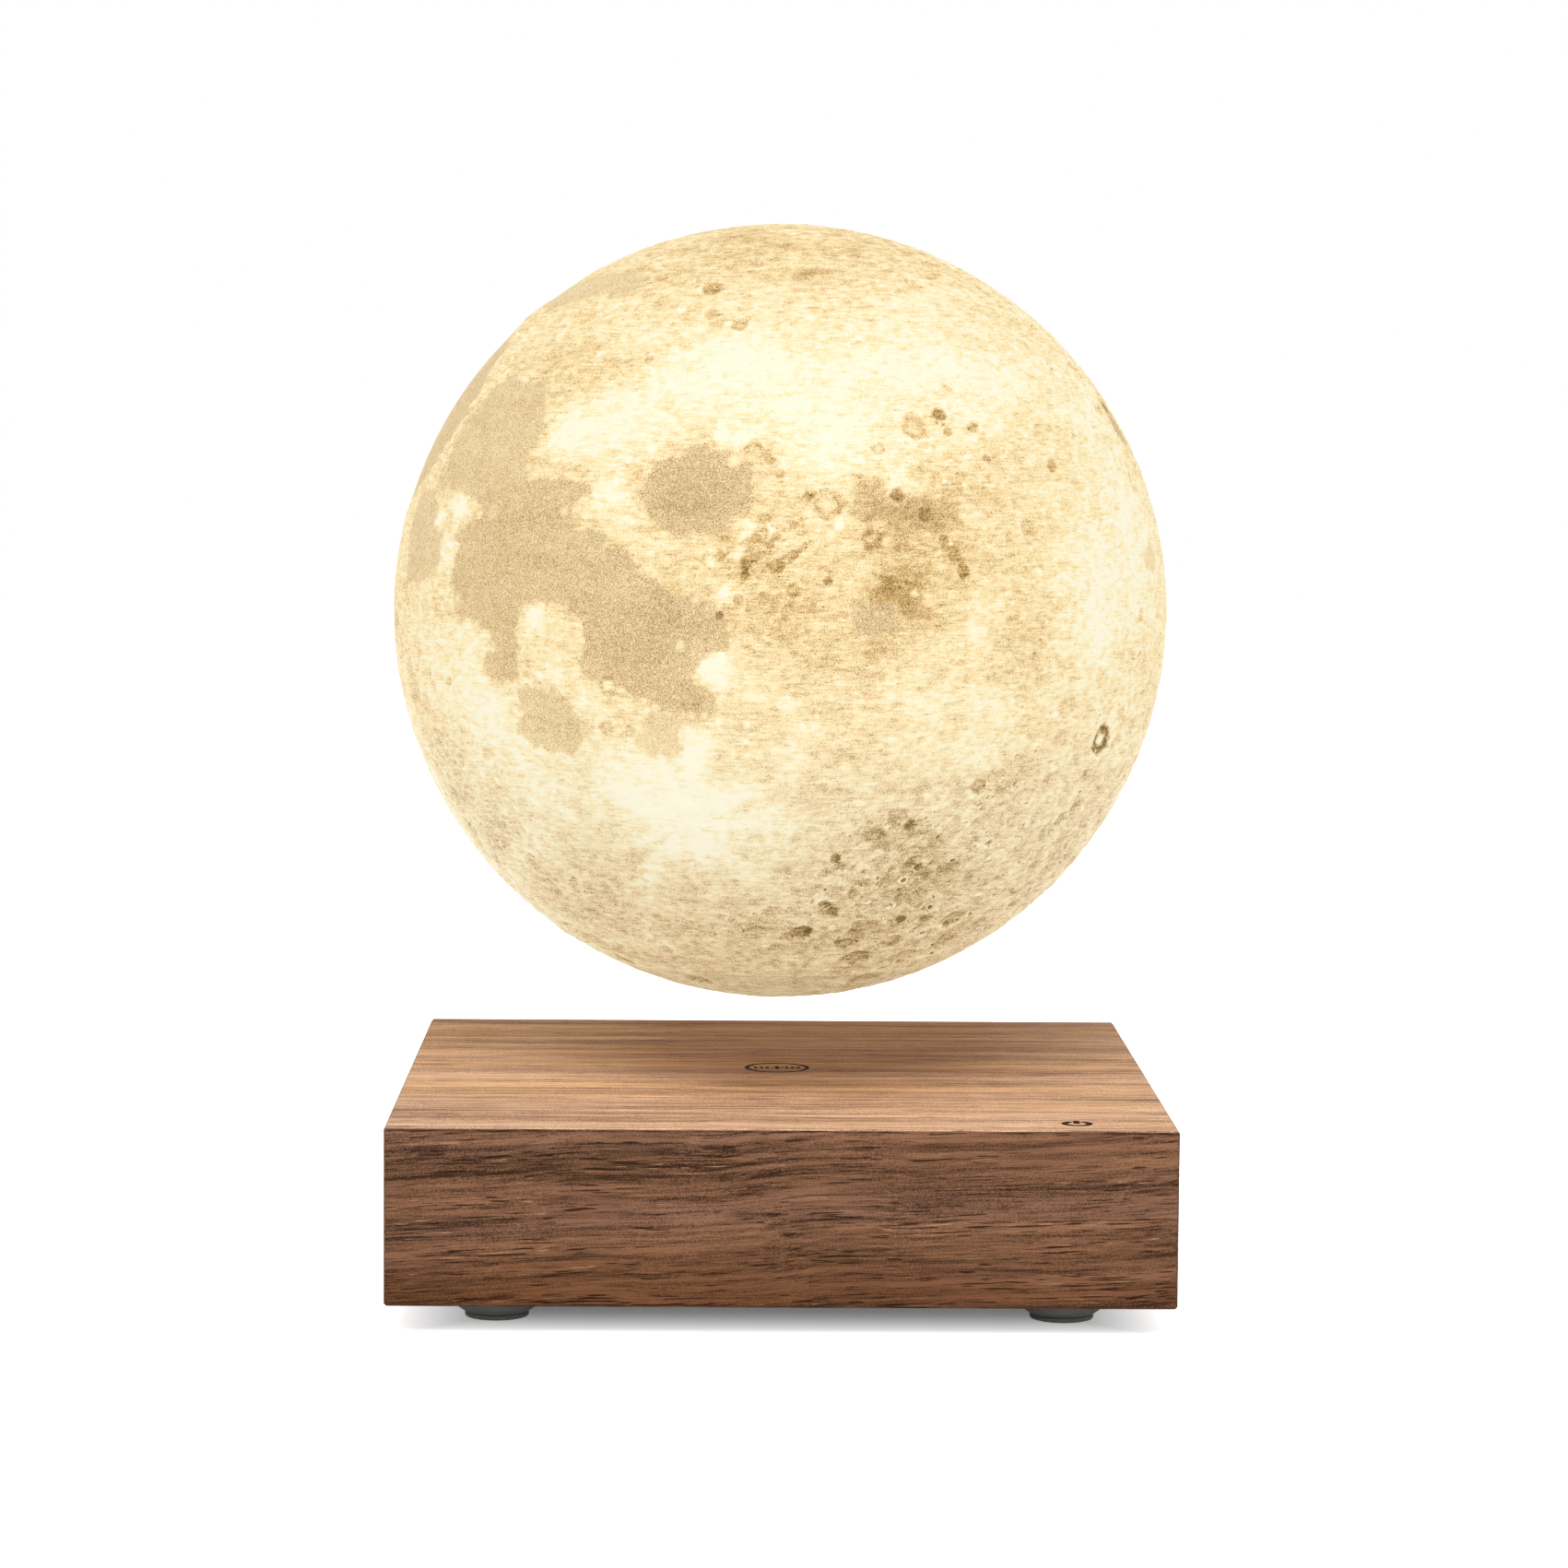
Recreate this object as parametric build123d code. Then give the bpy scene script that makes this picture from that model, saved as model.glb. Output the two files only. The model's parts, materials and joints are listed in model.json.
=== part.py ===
from build123d import *
from math import acos, atan2, cos, degrees, radians, sin, sqrt
import os

# Levitating lamp: a walnut base holds a moon globe in the air above it.
# Millimetres, Z up. The origin is on the hover axis at table level, and the front faces -Y.

# Whole object
base_width = 165.0
box_height = 37.5
foot_drop = 6.2
hover_axis_back = 4.5
globe_radius = 86.4
hover_gap = 17.3
cut_overrun = 5.0

# Walnut box
panel_thickness = 5.0
wall_thickness = 6.0
edge_chamfer = 0.5
block_width = 26.0
block_top_gap = 14.0
block_bevel = 9.0

# Base plate
plate_thickness = 3.0
plate_recess = 1.5
plate_clearance = 0.3
plate_screw_inset = 5.5
board_post_height = 3.0
board_post_width = 7.0

# Rubber feet
foot_inset = 22.5
foot_tread_radius = 6.5
foot_tread_height = 1.0
foot_tread_bevel = 0.3
foot_flare_height = 1.2
foot_radius = 8.6
foot_recess_depth = 0.8
foot_recess_clearance = 0.2

# Screws
screw_shank_radius = 1.2
screw_head_radius = 2.3
screw_head_height = 1.2
screw_hole_clearance = 0.25
screw_sides = 8
plate_screw_grip = 9.0
tray_screw_grip = 3.4
board_screw_grip = 3.6
lid_screw_grip = 6.0

# Levitation module
tray_height = 13.0
tray_floor = 2.0
tray_rim = 1.6
tray_ear_length = 9.0
tray_ear_width = 10.0
tray_ear_thickness = 3.0
coil_circle_radius = 21.0
bobbin_flat_radius = 13.3
bobbin_flange = 1.1
bobbin_core_radius = 5.0
bobbin_bore_radius = 2.5
bobbin_head_gap = 0.3
winding_radius = 12.6
ring_magnet_inner_gap = 1.7
ring_magnet_width = 16.0
ring_magnet_height = 8.0
ring_magnet_clearance = 0.4
transmitter_width = 13.0
transmitter_gap = 0.3
hall_post_width = 8.0
hall_post_wall = 1.2
hall_post_height = 7.6
hall_board_width = 9.6
hall_board_thickness = 1.2
hall_sensor_width = 3.0
hall_sensor_depth = 1.6
hall_sensor_height = 1.4
hall_sensor_circle = 2.6
pin_width = 0.6
pin_hole_clearance = 0.3
hall_pin_pitch = 1.27
coil_pin_spread = 3.2

# Control board
board_thickness = 1.6
board_block_gap = 2.5
board_front_gap = 31.0
board_back_gap = 0.3
board_post_side_inset = 5.0
board_post_front_inset = 6.0
board_post_back_inset = 15.7
driver_length = 5.0
driver_width = 4.0
driver_height = 1.7
driver_circle_radius = 26.0
controller_width = 9.0
controller_height = 1.4
controller_side_inset = 20.0
controller_front_inset = 12.0
capacitor_radius = 3.2
capacitor_height = 7.2
capacitor_jack_gap = 12.3
capacitor_pitch = 8.5
capacitor_back_gap = 6.5

# DC jack, with its hole in the back wall
jack_board_inset = 16.0
jack_width = 9.0
jack_depth = 13.5
jack_height = 10.0
jack_wall_gap = 0.3
jack_nose_radius = 4.0
jack_bore_radius = 2.8
jack_bore_depth = 9.5
jack_pin_radius = 1.05
jack_pin_tip = 1.2
inlet_radius = 5.6
inlet_depth = 4.6
inlet_nose_clearance = 0.2

# Touch spot, placed from the base's right and front faces
touch_side_inset = 20.7
touch_front_inset = 9.5
electrode_radius = 3.2
electrode_thickness = 0.3
lead_diameter = 1.2
lead_sides = 6
touch_lead_drop = 9.0
touch_lead_side_inset = 2.5
touch_lead_front_inset = 12.0
touch_lead_rise = 7.0

# Globe shell: angles in degrees
shell_wall = 2.2
land_radius = 11.5
cells_around = 48
outer_rows = 22
inner_rows = 11
relief_depth = 0.9
relief_fade_angle = 8.0
facing_longitude = 70.4
globe_tip = -3.55
globe_lean = -2.03

# Moon cap and magnet housing
cap_clearance = 0.3
cap_wall = 1.6
cap_skin = 1.2
housing_fit = 0.15
housing_wall = 1.2
collar_thickness = 3.8
hook_reach = 1.5
hook_height = 4.2
hook_seat_gap = 0.5
hook_sweep = 14.0
hook_count = 3

# Float magnet and what lies round it
magnet_radius = 27.0
magnet_thickness = 9.0
backing_thickness = 1.5
float_clearance = 0.35
receiver_clearance = 0.3
receiver_width = 3.0
receiver_height = 4.5
lid_thickness = 2.0
lid_edge_gap = 0.3
receiver_lead_diameter = 1.0
lead_hole_clearance = 0.4
receiver_lead_rise = 4.0
receiver_lead_end = 17.0

# LED board
led_board_flat_radius = 25.0
led_board_thickness = 1.6
led_width = 5.0
led_height = 1.4
led_circle_radius = 20.5
led_count = 12
led_driver_width = 6.0
led_driver_height = 1.5

# A quarter turn in degrees, from which every other turn is worked out
quarter_turn = 90

# Levels, from the table up
box_bottom = foot_drop
box_top = box_bottom + box_height
panel_underside = box_top - panel_thickness
plate_bottom = box_bottom + plate_recess
plate_top = plate_bottom + plate_thickness
board_bottom = plate_top + board_post_height
board_top = board_bottom + board_thickness
tray_bottom = panel_underside - tray_height
tray_floor_top = tray_bottom + tray_floor
jack_axis = board_top + jack_height / 2
globe_centre = box_top + hover_gap + sqrt(globe_radius**2 - land_radius**2)

# Places worked out from the sizes above
middle = -hover_axis_back
half_width = base_width / 2
inner_half = half_width - wall_thickness
back_inner = middle + inner_half
block_height = panel_underside - block_top_gap - plate_top
board_half = inner_half - block_width - board_block_gap
board_front = middle - inner_half + board_front_gap
board_back = back_inner - board_back_gap
jack_across = board_half - jack_board_inset
touch_place = (half_width - touch_side_inset, middle - half_width + touch_front_inset)
cavity_radius = globe_radius - shell_wall
ring_magnet_inner_radius = coil_circle_radius + bobbin_flat_radius + ring_magnet_inner_gap
ring_magnet_outer_radius = ring_magnet_inner_radius + ring_magnet_width
tray_radius = ring_magnet_outer_radius + ring_magnet_clearance + tray_rim
pocket_radius = magnet_radius + float_clearance
collar_radius = pocket_radius + collar_thickness
receiver_inner_radius = collar_radius + receiver_clearance
receiver_outer_radius = receiver_inner_radius + receiver_width
bay_radius = receiver_outer_radius + receiver_clearance
housing_radius = bay_radius + housing_wall
lid_screw_circle = (pocket_radius + collar_radius) / 2
pocket_seat_radius = pocket_radius + housing_wall
cap_radius = housing_radius + housing_fit + cap_wall
shell_opening_radius = (cap_radius + cap_clearance) / cos(radians(2 * quarter_turn / cells_around))
corners = {"front_left": (-1, -1), "front_right": (1, -1), "back_left": (-1, 1), "back_right": (1, 1)}
standing = (Align.CENTER, Align.CENTER, Align.MIN)


def globe_level(radius, out_to):
    """The level where a sphere round the globe's middle lies on its underside, so far from the axis."""
    return globe_centre - sqrt(radius**2 - out_to**2)


# Levels inside the globe, from the cap up
pocket_seat = globe_level(globe_radius, pocket_seat_radius) + cap_skin
bay_seat = globe_level(globe_radius, housing_radius) + cap_skin
magnet_level = pocket_seat + housing_wall + float_clearance
backing_level = magnet_level + magnet_thickness
lid_level = backing_level + backing_thickness + float_clearance
led_board_level = lid_level + lid_thickness

# Relief: latitude and longitude of a place, how far it spreads in degrees, and the share of the depth.
# Dark seas of the near side, then the large basins and craters of the edge and the far side.
sea_places_and_shares = [
    (17, 59, 11, 1.0),
    (-8, 51, 14, 0.8),
    (9, 31, 15, 0.8),
    (28, 18, 12, 0.9),
    (-15, 35, 8, 0.9),
    (33, -16, 18, 0.8),
    (15, -50, 24, 0.6),
    (-24, -39, 9, 0.8),
    (-20, -16, 12, 0.6),
    (56, 0, 9, 0.5),
    (13, 86, 9, 0.6),
    (-2, 87, 9, 0.7),
    (57, 82, 8, 0.7),
    (27, 148, 9, 1.0),
    (-20, 129, 7, 1.0),
    (-39, 93, 13, 0.5),
    (-55, -170, 26, 0.9),
    (6, 141, 9, 0.5),
    (-20, -95, 14, 0.9),
    (4, -130, 13, 0.5),
]


def disc(radius, height, place):
    return Pos(*place) * Cylinder(radius, height, align=standing)


def ring(outer_radius, inner_radius, height, place):
    return disc(outer_radius, height, place) - disc(inner_radius, height, place)


def stud(radius, height, place):
    """A small round pin or hole of a screw, kept to a few sides."""
    return Pos(*place) * extrude(RegularPolygon(radius, screw_sides), amount=height)


def block(width, depth, height, place):
    return Pos(*place) * Box(width, depth, height, align=standing)


def screw(grip, head_top, place):
    """A pan-head screw that points up, its head's upper face at head_top."""
    x, y = place
    head = stud(screw_head_radius, screw_head_height, (x, y, head_top - screw_head_height))
    return head + stud(screw_shank_radius, grip, (x, y, head_top))


def screw_down(grip, head_under, place):
    """A pan-head screw that points down, its head's lower face at head_under."""
    x, y = place
    head = stud(screw_head_radius, screw_head_height, (x, y, head_under))
    return head + stud(screw_shank_radius, grip, (x, y, head_under - grip))


def lead(points, radii, diameter):
    """An insulated wire along straight runs that tangent arcs join."""
    path = FilletPolyline(*points, radius=radii)
    section = Plane(origin=path @ 0, z_dir=path % 0) * RegularPolygon(diameter / 2, lead_sides)
    return sweep(section, path=path)


def corner_place(corner, spread):
    """The place of a corner's piece, so far from the base's middle."""
    across, along = corners[corner]
    return across * spread, middle + along * spread


# Walnut box

def outer_box():
    body = block(base_width, base_width, box_height, (0, middle, box_bottom))
    return chamfer(body.edges(), edge_chamfer)


def mitred_top():
    """The space of the top panel, which narrows downward at 45 degrees on all four sides."""
    narrow = base_width - 2 * panel_thickness
    top_face = Pos(0, middle, box_top) * Rectangle(base_width, base_width)
    low_face = Pos(0, middle, panel_underside) * Rectangle(narrow, narrow)
    return loft([low_face, top_face], ruled=True)


def make_top_panel():
    return outer_box() & mitred_top()


def make_wall_ring():
    """The four walls before they are parted at their mitres."""
    inside = block(2 * inner_half, 2 * inner_half, box_height, (0, middle, box_bottom - panel_thickness))
    return outer_box() - inside - mitred_top()


def mitre_wedge(turn):
    """The quarter of the base between two diagonal mitre planes."""
    reach = base_width
    outline = Polyline((0, 0), (-reach, -reach), (reach, -reach), close=True)
    wedge = extrude(make_face(outline), amount=box_height + 2 * cut_overrun)
    return Pos(0, middle, box_bottom - cut_overrun) * Rot(0, 0, turn) * wedge


def make_wall(turn):
    return make_wall_ring() & mitre_wedge(turn)


def inlet_cut():
    """The stepped hole for the power plug: wide outside, the jack's nose inside."""
    outer_face = middle + half_width
    mouth = Cylinder(inlet_radius, inlet_depth + cut_overrun, align=standing)
    throat = Cylinder(jack_nose_radius + inlet_nose_clearance, wall_thickness + cut_overrun, align=standing)
    start = Pos(jack_across, outer_face - inlet_depth, jack_axis)
    inside = Pos(jack_across, back_inner - cut_overrun, jack_axis)
    toward_back = Rot(-quarter_turn, 0, 0)
    return start * toward_back * mouth + inside * toward_back * throat


def make_corner_block(corner):
    """A glue block in a corner of the box, its free corner bevelled."""
    across, along = corners[corner]
    body = block(block_width, block_width, block_height, (0, 0, plate_top))
    free_edge = body.edges().filter_by(Axis.Z).sort_by(Axis.X)[:2].sort_by(Axis.Y)[0]
    body = chamfer(free_edge, block_bevel)
    turn = degrees(atan2(along, across)) - quarter_turn / 2
    x, y = corner_place(corner, inner_half - block_width / 2)
    pilot = stud(screw_shank_radius, plate_screw_grip, (*plate_screw_place(corner), plate_bottom))
    return Pos(x, y, 0) * Rot(0, 0, turn) * body - pilot


# Base plate and feet

def plate_screw_place(corner):
    return corner_place(corner, inner_half - plate_screw_inset)


def board_post_places():
    across = board_half - board_post_side_inset
    front = board_front + board_post_front_inset
    back = board_back - board_post_back_inset
    return [(side * across, along) for side in (-1, 1) for along in (front, back)]


def make_base_plate():
    width = 2 * (inner_half - plate_clearance)
    plate = block(width, width, plate_thickness, (0, middle, plate_bottom))
    for x, y in board_post_places():
        plate += block(board_post_width, board_post_width, board_post_height, (x, y, plate_top))
        plate -= stud(screw_shank_radius, board_screw_grip, (x, y, board_top - board_screw_grip))
    for corner in corners:
        recess_radius = foot_radius + foot_recess_clearance
        place = corner_place(corner, half_width - foot_inset)
        recess = disc(recess_radius, foot_recess_depth + cut_overrun, (*place, plate_bottom - cut_overrun))
        hole_radius = screw_shank_radius + screw_hole_clearance
        hole = stud(hole_radius, plate_thickness, (*plate_screw_place(corner), plate_bottom))
        plate = plate - recess - hole
    return plate


def make_plate_screws():
    return Compound([screw(plate_screw_grip, plate_bottom, plate_screw_place(corner)) for corner in corners])


def make_foot(corner):
    """A stepped rubber foot: a narrow tread, a flare, and a wide body that sits in the plate's recess."""
    top = plate_bottom + foot_recess_depth
    flare_top = foot_tread_height + foot_flare_height
    outline = Polyline(
        (0, 0),
        (foot_tread_radius - foot_tread_bevel, 0),
        (foot_tread_radius, foot_tread_bevel),
        (foot_tread_radius, foot_tread_height),
        (foot_radius, flare_top),
        (foot_radius, top),
        (0, top),
        close=True,
    )
    body = revolve(Plane.XZ * make_face(outline), Axis.Z)
    return Pos(*corner_place(corner, half_width - foot_inset), 0) * body


# Levitation module

def bobbin_places():
    reach = coil_circle_radius * cos(radians(quarter_turn / 2))
    return [(reach, reach), (-reach, reach), (-reach, -reach), (reach, -reach)]


def coil_pin_places():
    return [(x + side * coil_pin_spread, y) for x, y in bobbin_places() for side in (-1, 1)]


def hall_pin_places():
    return [((step - 1.5) * hall_pin_pitch, 0) for step in range(4)]


def ear_turns():
    return [quarter_turn / 2 + quarter_turn * step for step in range(4)]


def tray_screw_places():
    reach = tray_radius + tray_ear_length / 2
    return [(reach * cos(radians(turn)), reach * sin(radians(turn))) for turn in ear_turns()]


def make_coil_tray():
    """The moulded tray that carries magnets and coils, hung under the top panel by its ears."""
    tray = disc(tray_radius, tray_height, (0, 0, tray_bottom))
    tray -= disc(tray_radius - tray_rim, tray_height, (0, 0, tray_floor_top))
    ear_level = panel_underside - tray_ear_thickness
    ear_root = tray_radius - tray_rim / 2
    ear_length = tray_radius + tray_ear_length - ear_root
    for turn in ear_turns():
        ear = block(ear_length, tray_ear_width, tray_ear_thickness, (ear_root + ear_length / 2, 0, ear_level))
        tray += Rot(0, 0, turn) * ear
    tray += block(hall_post_width, hall_post_width, hall_post_height, (0, 0, tray_floor_top))
    shaft = hall_post_width - 2 * hall_post_wall
    tray -= block(shaft, shaft, tray_floor + hall_post_height, (0, 0, tray_bottom))
    hole = pin_width + 2 * pin_hole_clearance
    for x, y in coil_pin_places():
        tray -= block(hole, hole, tray_floor, (x, y, tray_bottom))
    for x, y in tray_screw_places():
        tray -= stud(screw_shank_radius + screw_hole_clearance, tray_ear_thickness, (x, y, ear_level))
    return tray


def make_tray_screws():
    level = panel_underside - tray_ear_thickness
    grip = tray_ear_thickness + tray_screw_grip
    return Compound([screw(grip, level, place) for place in tray_screw_places()])


def tray_screw_pilots():
    """The pilot holes of the tray's screws in the underside of the top panel."""
    places = [(x, y, panel_underside) for x, y in tray_screw_places()]
    return [stud(screw_shank_radius, tray_screw_grip, place) for place in places]


def bobbin_flange_plate(place):
    octagon = RegularPolygon(bobbin_flat_radius, 8, major_radius=False, rotation=quarter_turn / 4)
    return Pos(*place) * extrude(octagon, amount=bobbin_flange)


def bobbin_height():
    return tray_height - tray_floor - bobbin_head_gap


def make_bobbin(place):
    x, y = place
    height = bobbin_height()
    body = disc(bobbin_core_radius, height, (x, y, tray_floor_top))
    body += bobbin_flange_plate((x, y, tray_floor_top))
    body += bobbin_flange_plate((x, y, tray_floor_top + height - bobbin_flange))
    return body - disc(bobbin_bore_radius, height, (x, y, tray_floor_top))


def make_winding(place):
    x, y = place
    height = bobbin_height() - 2 * bobbin_flange
    return ring(winding_radius, bobbin_core_radius, height, (x, y, tray_floor_top + bobbin_flange))


def make_coil_pins():
    length = tray_floor_top - board_top
    return Compound([block(pin_width, pin_width, length, (x, y, board_top)) for x, y in coil_pin_places()])


def make_ring_magnet():
    place = (0, 0, tray_floor_top)
    return ring(ring_magnet_outer_radius, ring_magnet_inner_radius, ring_magnet_height, place)


def make_transmitter_coil():
    """The flat power coil, between the ring magnet and the top panel."""
    level = tray_floor_top + ring_magnet_height
    height = panel_underside - transmitter_gap - level
    inner_radius = ring_magnet_outer_radius - transmitter_width
    return ring(ring_magnet_outer_radius, inner_radius, height, (0, 0, level))


def hall_board_level():
    return tray_floor_top + hall_post_height


def make_hall_board():
    return block(hall_board_width, hall_board_width, hall_board_thickness, (0, 0, hall_board_level()))


def make_hall_sensors():
    """Three sensors: one for each level direction and one for the height."""
    level = hall_board_level() + hall_board_thickness
    sensors = []
    for step in range(3):
        sensor = block(hall_sensor_width, hall_sensor_depth, hall_sensor_height, (0, hall_sensor_circle, level))
        sensors.append(Rot(0, 0, step * 4 * quarter_turn / 3) * sensor)
    return Compound(sensors)


def make_hall_pins():
    length = hall_board_level() - board_top
    return Compound([block(pin_width, pin_width, length, (x, y, board_top)) for x, y in hall_pin_places()])


# Control board

def make_control_board():
    depth = board_back - board_front
    board_middle = (0, board_front + depth / 2, board_bottom)
    board = block(2 * board_half, depth, board_thickness, board_middle)
    for x, y in board_post_places():
        board -= stud(screw_shank_radius + screw_hole_clearance, board_thickness, (x, y, board_bottom))
    return board


def make_board_screws():
    return Compound([screw_down(board_screw_grip, board_top, place) for place in board_post_places()])


def make_driver_chips():
    """One coil driver in front of, behind and beside the coils' middle."""
    chips = []
    for step in range(4):
        chip = block(driver_length, driver_width, driver_height, (driver_circle_radius, 0, board_top))
        chips.append(Rot(0, 0, step * quarter_turn) * chip)
    return Compound(chips)


def make_controller_chip():
    place = (controller_side_inset - board_half, board_front + controller_front_inset, board_top)
    return block(controller_width, controller_width, controller_height, place)


def make_capacitors():
    along = board_back - capacitor_back_gap - capacitor_radius
    first = jack_across - jack_width / 2 - capacitor_jack_gap - capacitor_radius
    across = [first - step * capacitor_pitch for step in range(2)]
    return Compound([disc(capacitor_radius, capacitor_height, (x, along, board_top)) for x in across])


# DC jack

def jack_front():
    return back_inner - jack_wall_gap


def jack_nose_tip():
    return middle + half_width - inlet_depth


def make_dc_jack():
    """The jack's body on the board, its round nose through the wall, and the bore for the plug."""
    body = block(jack_width, jack_depth, jack_height, (jack_across, jack_front() - jack_depth / 2, board_top))
    toward_back = Rot(-quarter_turn, 0, 0)
    nose_length = jack_nose_tip() - jack_front()
    nose = Cylinder(jack_nose_radius, nose_length, align=standing)
    body += Pos(jack_across, jack_front(), jack_axis) * toward_back * nose
    bore = Cylinder(jack_bore_radius, jack_bore_depth, align=standing)
    return body - Pos(jack_across, jack_nose_tip() - jack_bore_depth, jack_axis) * toward_back * bore


def make_jack_pin():
    length = jack_bore_depth - jack_pin_tip
    pin = Cylinder(jack_pin_radius, length, align=standing)
    return Pos(jack_across, jack_nose_tip() - jack_bore_depth, jack_axis) * Rot(-quarter_turn, 0, 0) * pin


# Touch spot

def make_touch_electrode():
    place = (*touch_place, panel_underside - electrode_thickness)
    return disc(electrode_radius, electrode_thickness, place)


def make_touch_lead():
    """The lead from the electrode down and over the corner block to the control board."""
    top = panel_underside - electrode_thickness
    end = (board_half - touch_lead_side_inset, board_front + touch_lead_front_inset)
    points = [
        (*touch_place, top),
        (*touch_place, top - touch_lead_drop),
        (*end, board_top + touch_lead_rise),
        (*end, board_top),
    ]
    radius = 3 * lead_diameter
    return lead(points, [radius, radius], lead_diameter)


# Globe shell

def moon_direction(latitude, longitude):
    """The direction from the globe's middle to a place on the moon's map, as the globe hangs."""
    up = radians(latitude)
    across = radians(longitude - facing_longitude - quarter_turn)
    level = Vector(cos(up) * cos(across), cos(up) * sin(across), sin(up))
    return level.rotate(Axis.Y, globe_lean).rotate(Axis.X, globe_tip)


def relief_at(direction):
    """How far the surface lies below the round globe in this direction."""
    depth = 0
    for latitude, longitude, spread, depth_share in sea_places_and_shares:
        middle_direction = moon_direction(latitude, longitude)
        nearness = max(-1, min(1, direction.dot(middle_direction)))
        distance_share = degrees(acos(nearness)) / spread
        if distance_share < 1:
            depth = max(depth, depth_share * (1 - distance_share**2) ** 2)
    return depth * relief_depth


def row_angles(radius, rows):
    """The latitudes of the rows of cells, from the opening's edge to the top."""
    lowest = -degrees(acos(shell_opening_radius / radius))
    return [lowest + (quarter_turn - lowest) * row / rows for row in range(rows + 1)]


def shell_rows(radius, rows, with_relief):
    """Points of the shell's rows; the last row is the single point at the top."""
    angles = row_angles(radius, rows)
    points = []
    for angle in angles[:-1]:
        row = []
        for cell in range(cells_around):
            turn = radians(4 * quarter_turn * cell / cells_around)
            up = radians(angle)
            direction = Vector(cos(up) * cos(turn), cos(up) * sin(turn), sin(up))
            fade = min(1, (angle - angles[0]) / relief_fade_angle)
            sunk = relief_at(direction) * fade if with_relief else 0
            row.append(direction * (radius - sunk) + Vector(0, 0, globe_centre))
        points.append(row)
    points.append([Vector(0, 0, globe_centre + radius)] * cells_around)
    return points


def facet(*corner_points):
    return Face(Wire.make_polygon(corner_points))


def cells_between(low_row, high_row, split):
    """The faces between two rows: two triangles for each cell where the relief bends it, or one flat face."""
    faces = []
    for cell in range(cells_around):
        after = (cell + 1) % cells_around
        a, b, c, d = low_row[cell], low_row[after], high_row[after], high_row[cell]
        if c == d:
            faces.append(facet(a, b, c))
        elif split:
            faces += [facet(a, b, c), facet(a, c, d)]
        else:
            faces.append(facet(a, b, c, d))
    return faces


def make_moon_shell():
    """The hollow globe: outer rows with relief, smooth inner rows, and the upright edge of the opening."""
    outer = shell_rows(globe_radius, outer_rows, True)
    inner = shell_rows(cavity_radius, inner_rows, False)
    faces = cells_between(outer[0], inner[0], False)
    for low_row, high_row in zip(outer, outer[1:]):
        faces += cells_between(low_row, high_row, True)
    for low_row, high_row in zip(inner, inner[1:]):
        faces += cells_between(low_row, high_row, False)
    return Solid(Shell(faces))


# Moon cap and magnet housing

def lid_screw_places():
    turns = [radians(quarter_turn + 4 * quarter_turn * step / 3) for step in range(3)]
    return [(lid_screw_circle * cos(turn), lid_screw_circle * sin(turn)) for turn in turns]


def make_snap_hook(turn):
    """A hook that springs out over the shell's inner surface at the opening."""
    tip = cap_radius + hook_reach
    under = globe_level(cavity_radius, tip) + hook_seat_gap
    root = cap_radius - cap_wall / 2
    outline = Polyline(
        (root, under),
        (tip, under),
        (cap_radius, under + hook_height),
        (root, under + hook_height),
        close=True,
    )
    hook = revolve(Plane.XZ * make_face(outline), Axis.Z, revolution_arc=hook_sweep)
    return Rot(0, 0, turn - hook_sweep / 2) * hook


def make_moon_cap():
    """The printed cap that closes the globe from below: a flat land and the globe's round underside."""
    land_level = globe_level(globe_radius, land_radius)
    rim_level = globe_level(globe_radius, cap_radius)
    arc_radius = (land_radius + cap_radius) / 2
    arc_level = globe_level(globe_radius, arc_radius)
    bore = cap_radius - cap_wall
    step = pocket_seat_radius + housing_fit
    outline = [
        Line((0, land_level), (land_radius, land_level)),
        ThreePointArc((land_radius, land_level), (arc_radius, arc_level), (cap_radius, rim_level)),
        Polyline(
            (cap_radius, rim_level),
            (cap_radius, lid_level),
            (bore, lid_level),
            (bore, bay_seat),
            (step, bay_seat),
            (step, pocket_seat),
            (0, pocket_seat),
            (0, land_level),
        ),
    ]
    cap = revolve(Plane.XZ * make_face(outline), Axis.Z)
    for number in range(hook_count):
        cap += make_snap_hook(4 * quarter_turn * number / hook_count)
    return cap


def make_magnet_housing():
    """The moulded cup in the cap, with a pocket for the float magnet and a bay for the receiver coil."""
    outline = Polyline(
        (0, pocket_seat),
        (pocket_seat_radius, pocket_seat),
        (pocket_seat_radius, bay_seat),
        (housing_radius, bay_seat),
        (housing_radius, lid_level),
        (bay_radius, lid_level),
        (bay_radius, bay_seat + housing_wall),
        (collar_radius, bay_seat + housing_wall),
        (collar_radius, lid_level),
        (pocket_radius, lid_level),
        (pocket_radius, pocket_seat + housing_wall),
        (0, pocket_seat + housing_wall),
        close=True,
    )
    cup = revolve(Plane.XZ * make_face(outline), Axis.Z)
    for x, y in lid_screw_places():
        cup -= stud(screw_shank_radius, lid_screw_grip, (x, y, lid_level - lid_screw_grip))
    return cup


def make_receiver_coil():
    place = (0, 0, bay_seat + housing_wall)
    return ring(receiver_outer_radius, receiver_inner_radius, receiver_height, place)


def receiver_lead_out():
    return (receiver_inner_radius + receiver_outer_radius) / 2


def make_housing_lid():
    lid = disc(cap_radius - lid_edge_gap, lid_thickness, (0, 0, lid_level))
    hole_radius = receiver_lead_diameter / 2 + lead_hole_clearance
    lid -= stud(hole_radius, lid_thickness, (receiver_lead_out(), 0, lid_level))
    for x, y in lid_screw_places():
        lid -= stud(screw_shank_radius + screw_hole_clearance, lid_thickness, (x, y, lid_level))
    return lid


def make_lid_screws():
    grip = lid_thickness + lid_screw_grip
    return Compound([screw_down(grip, led_board_level, place) for place in lid_screw_places()])


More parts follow.
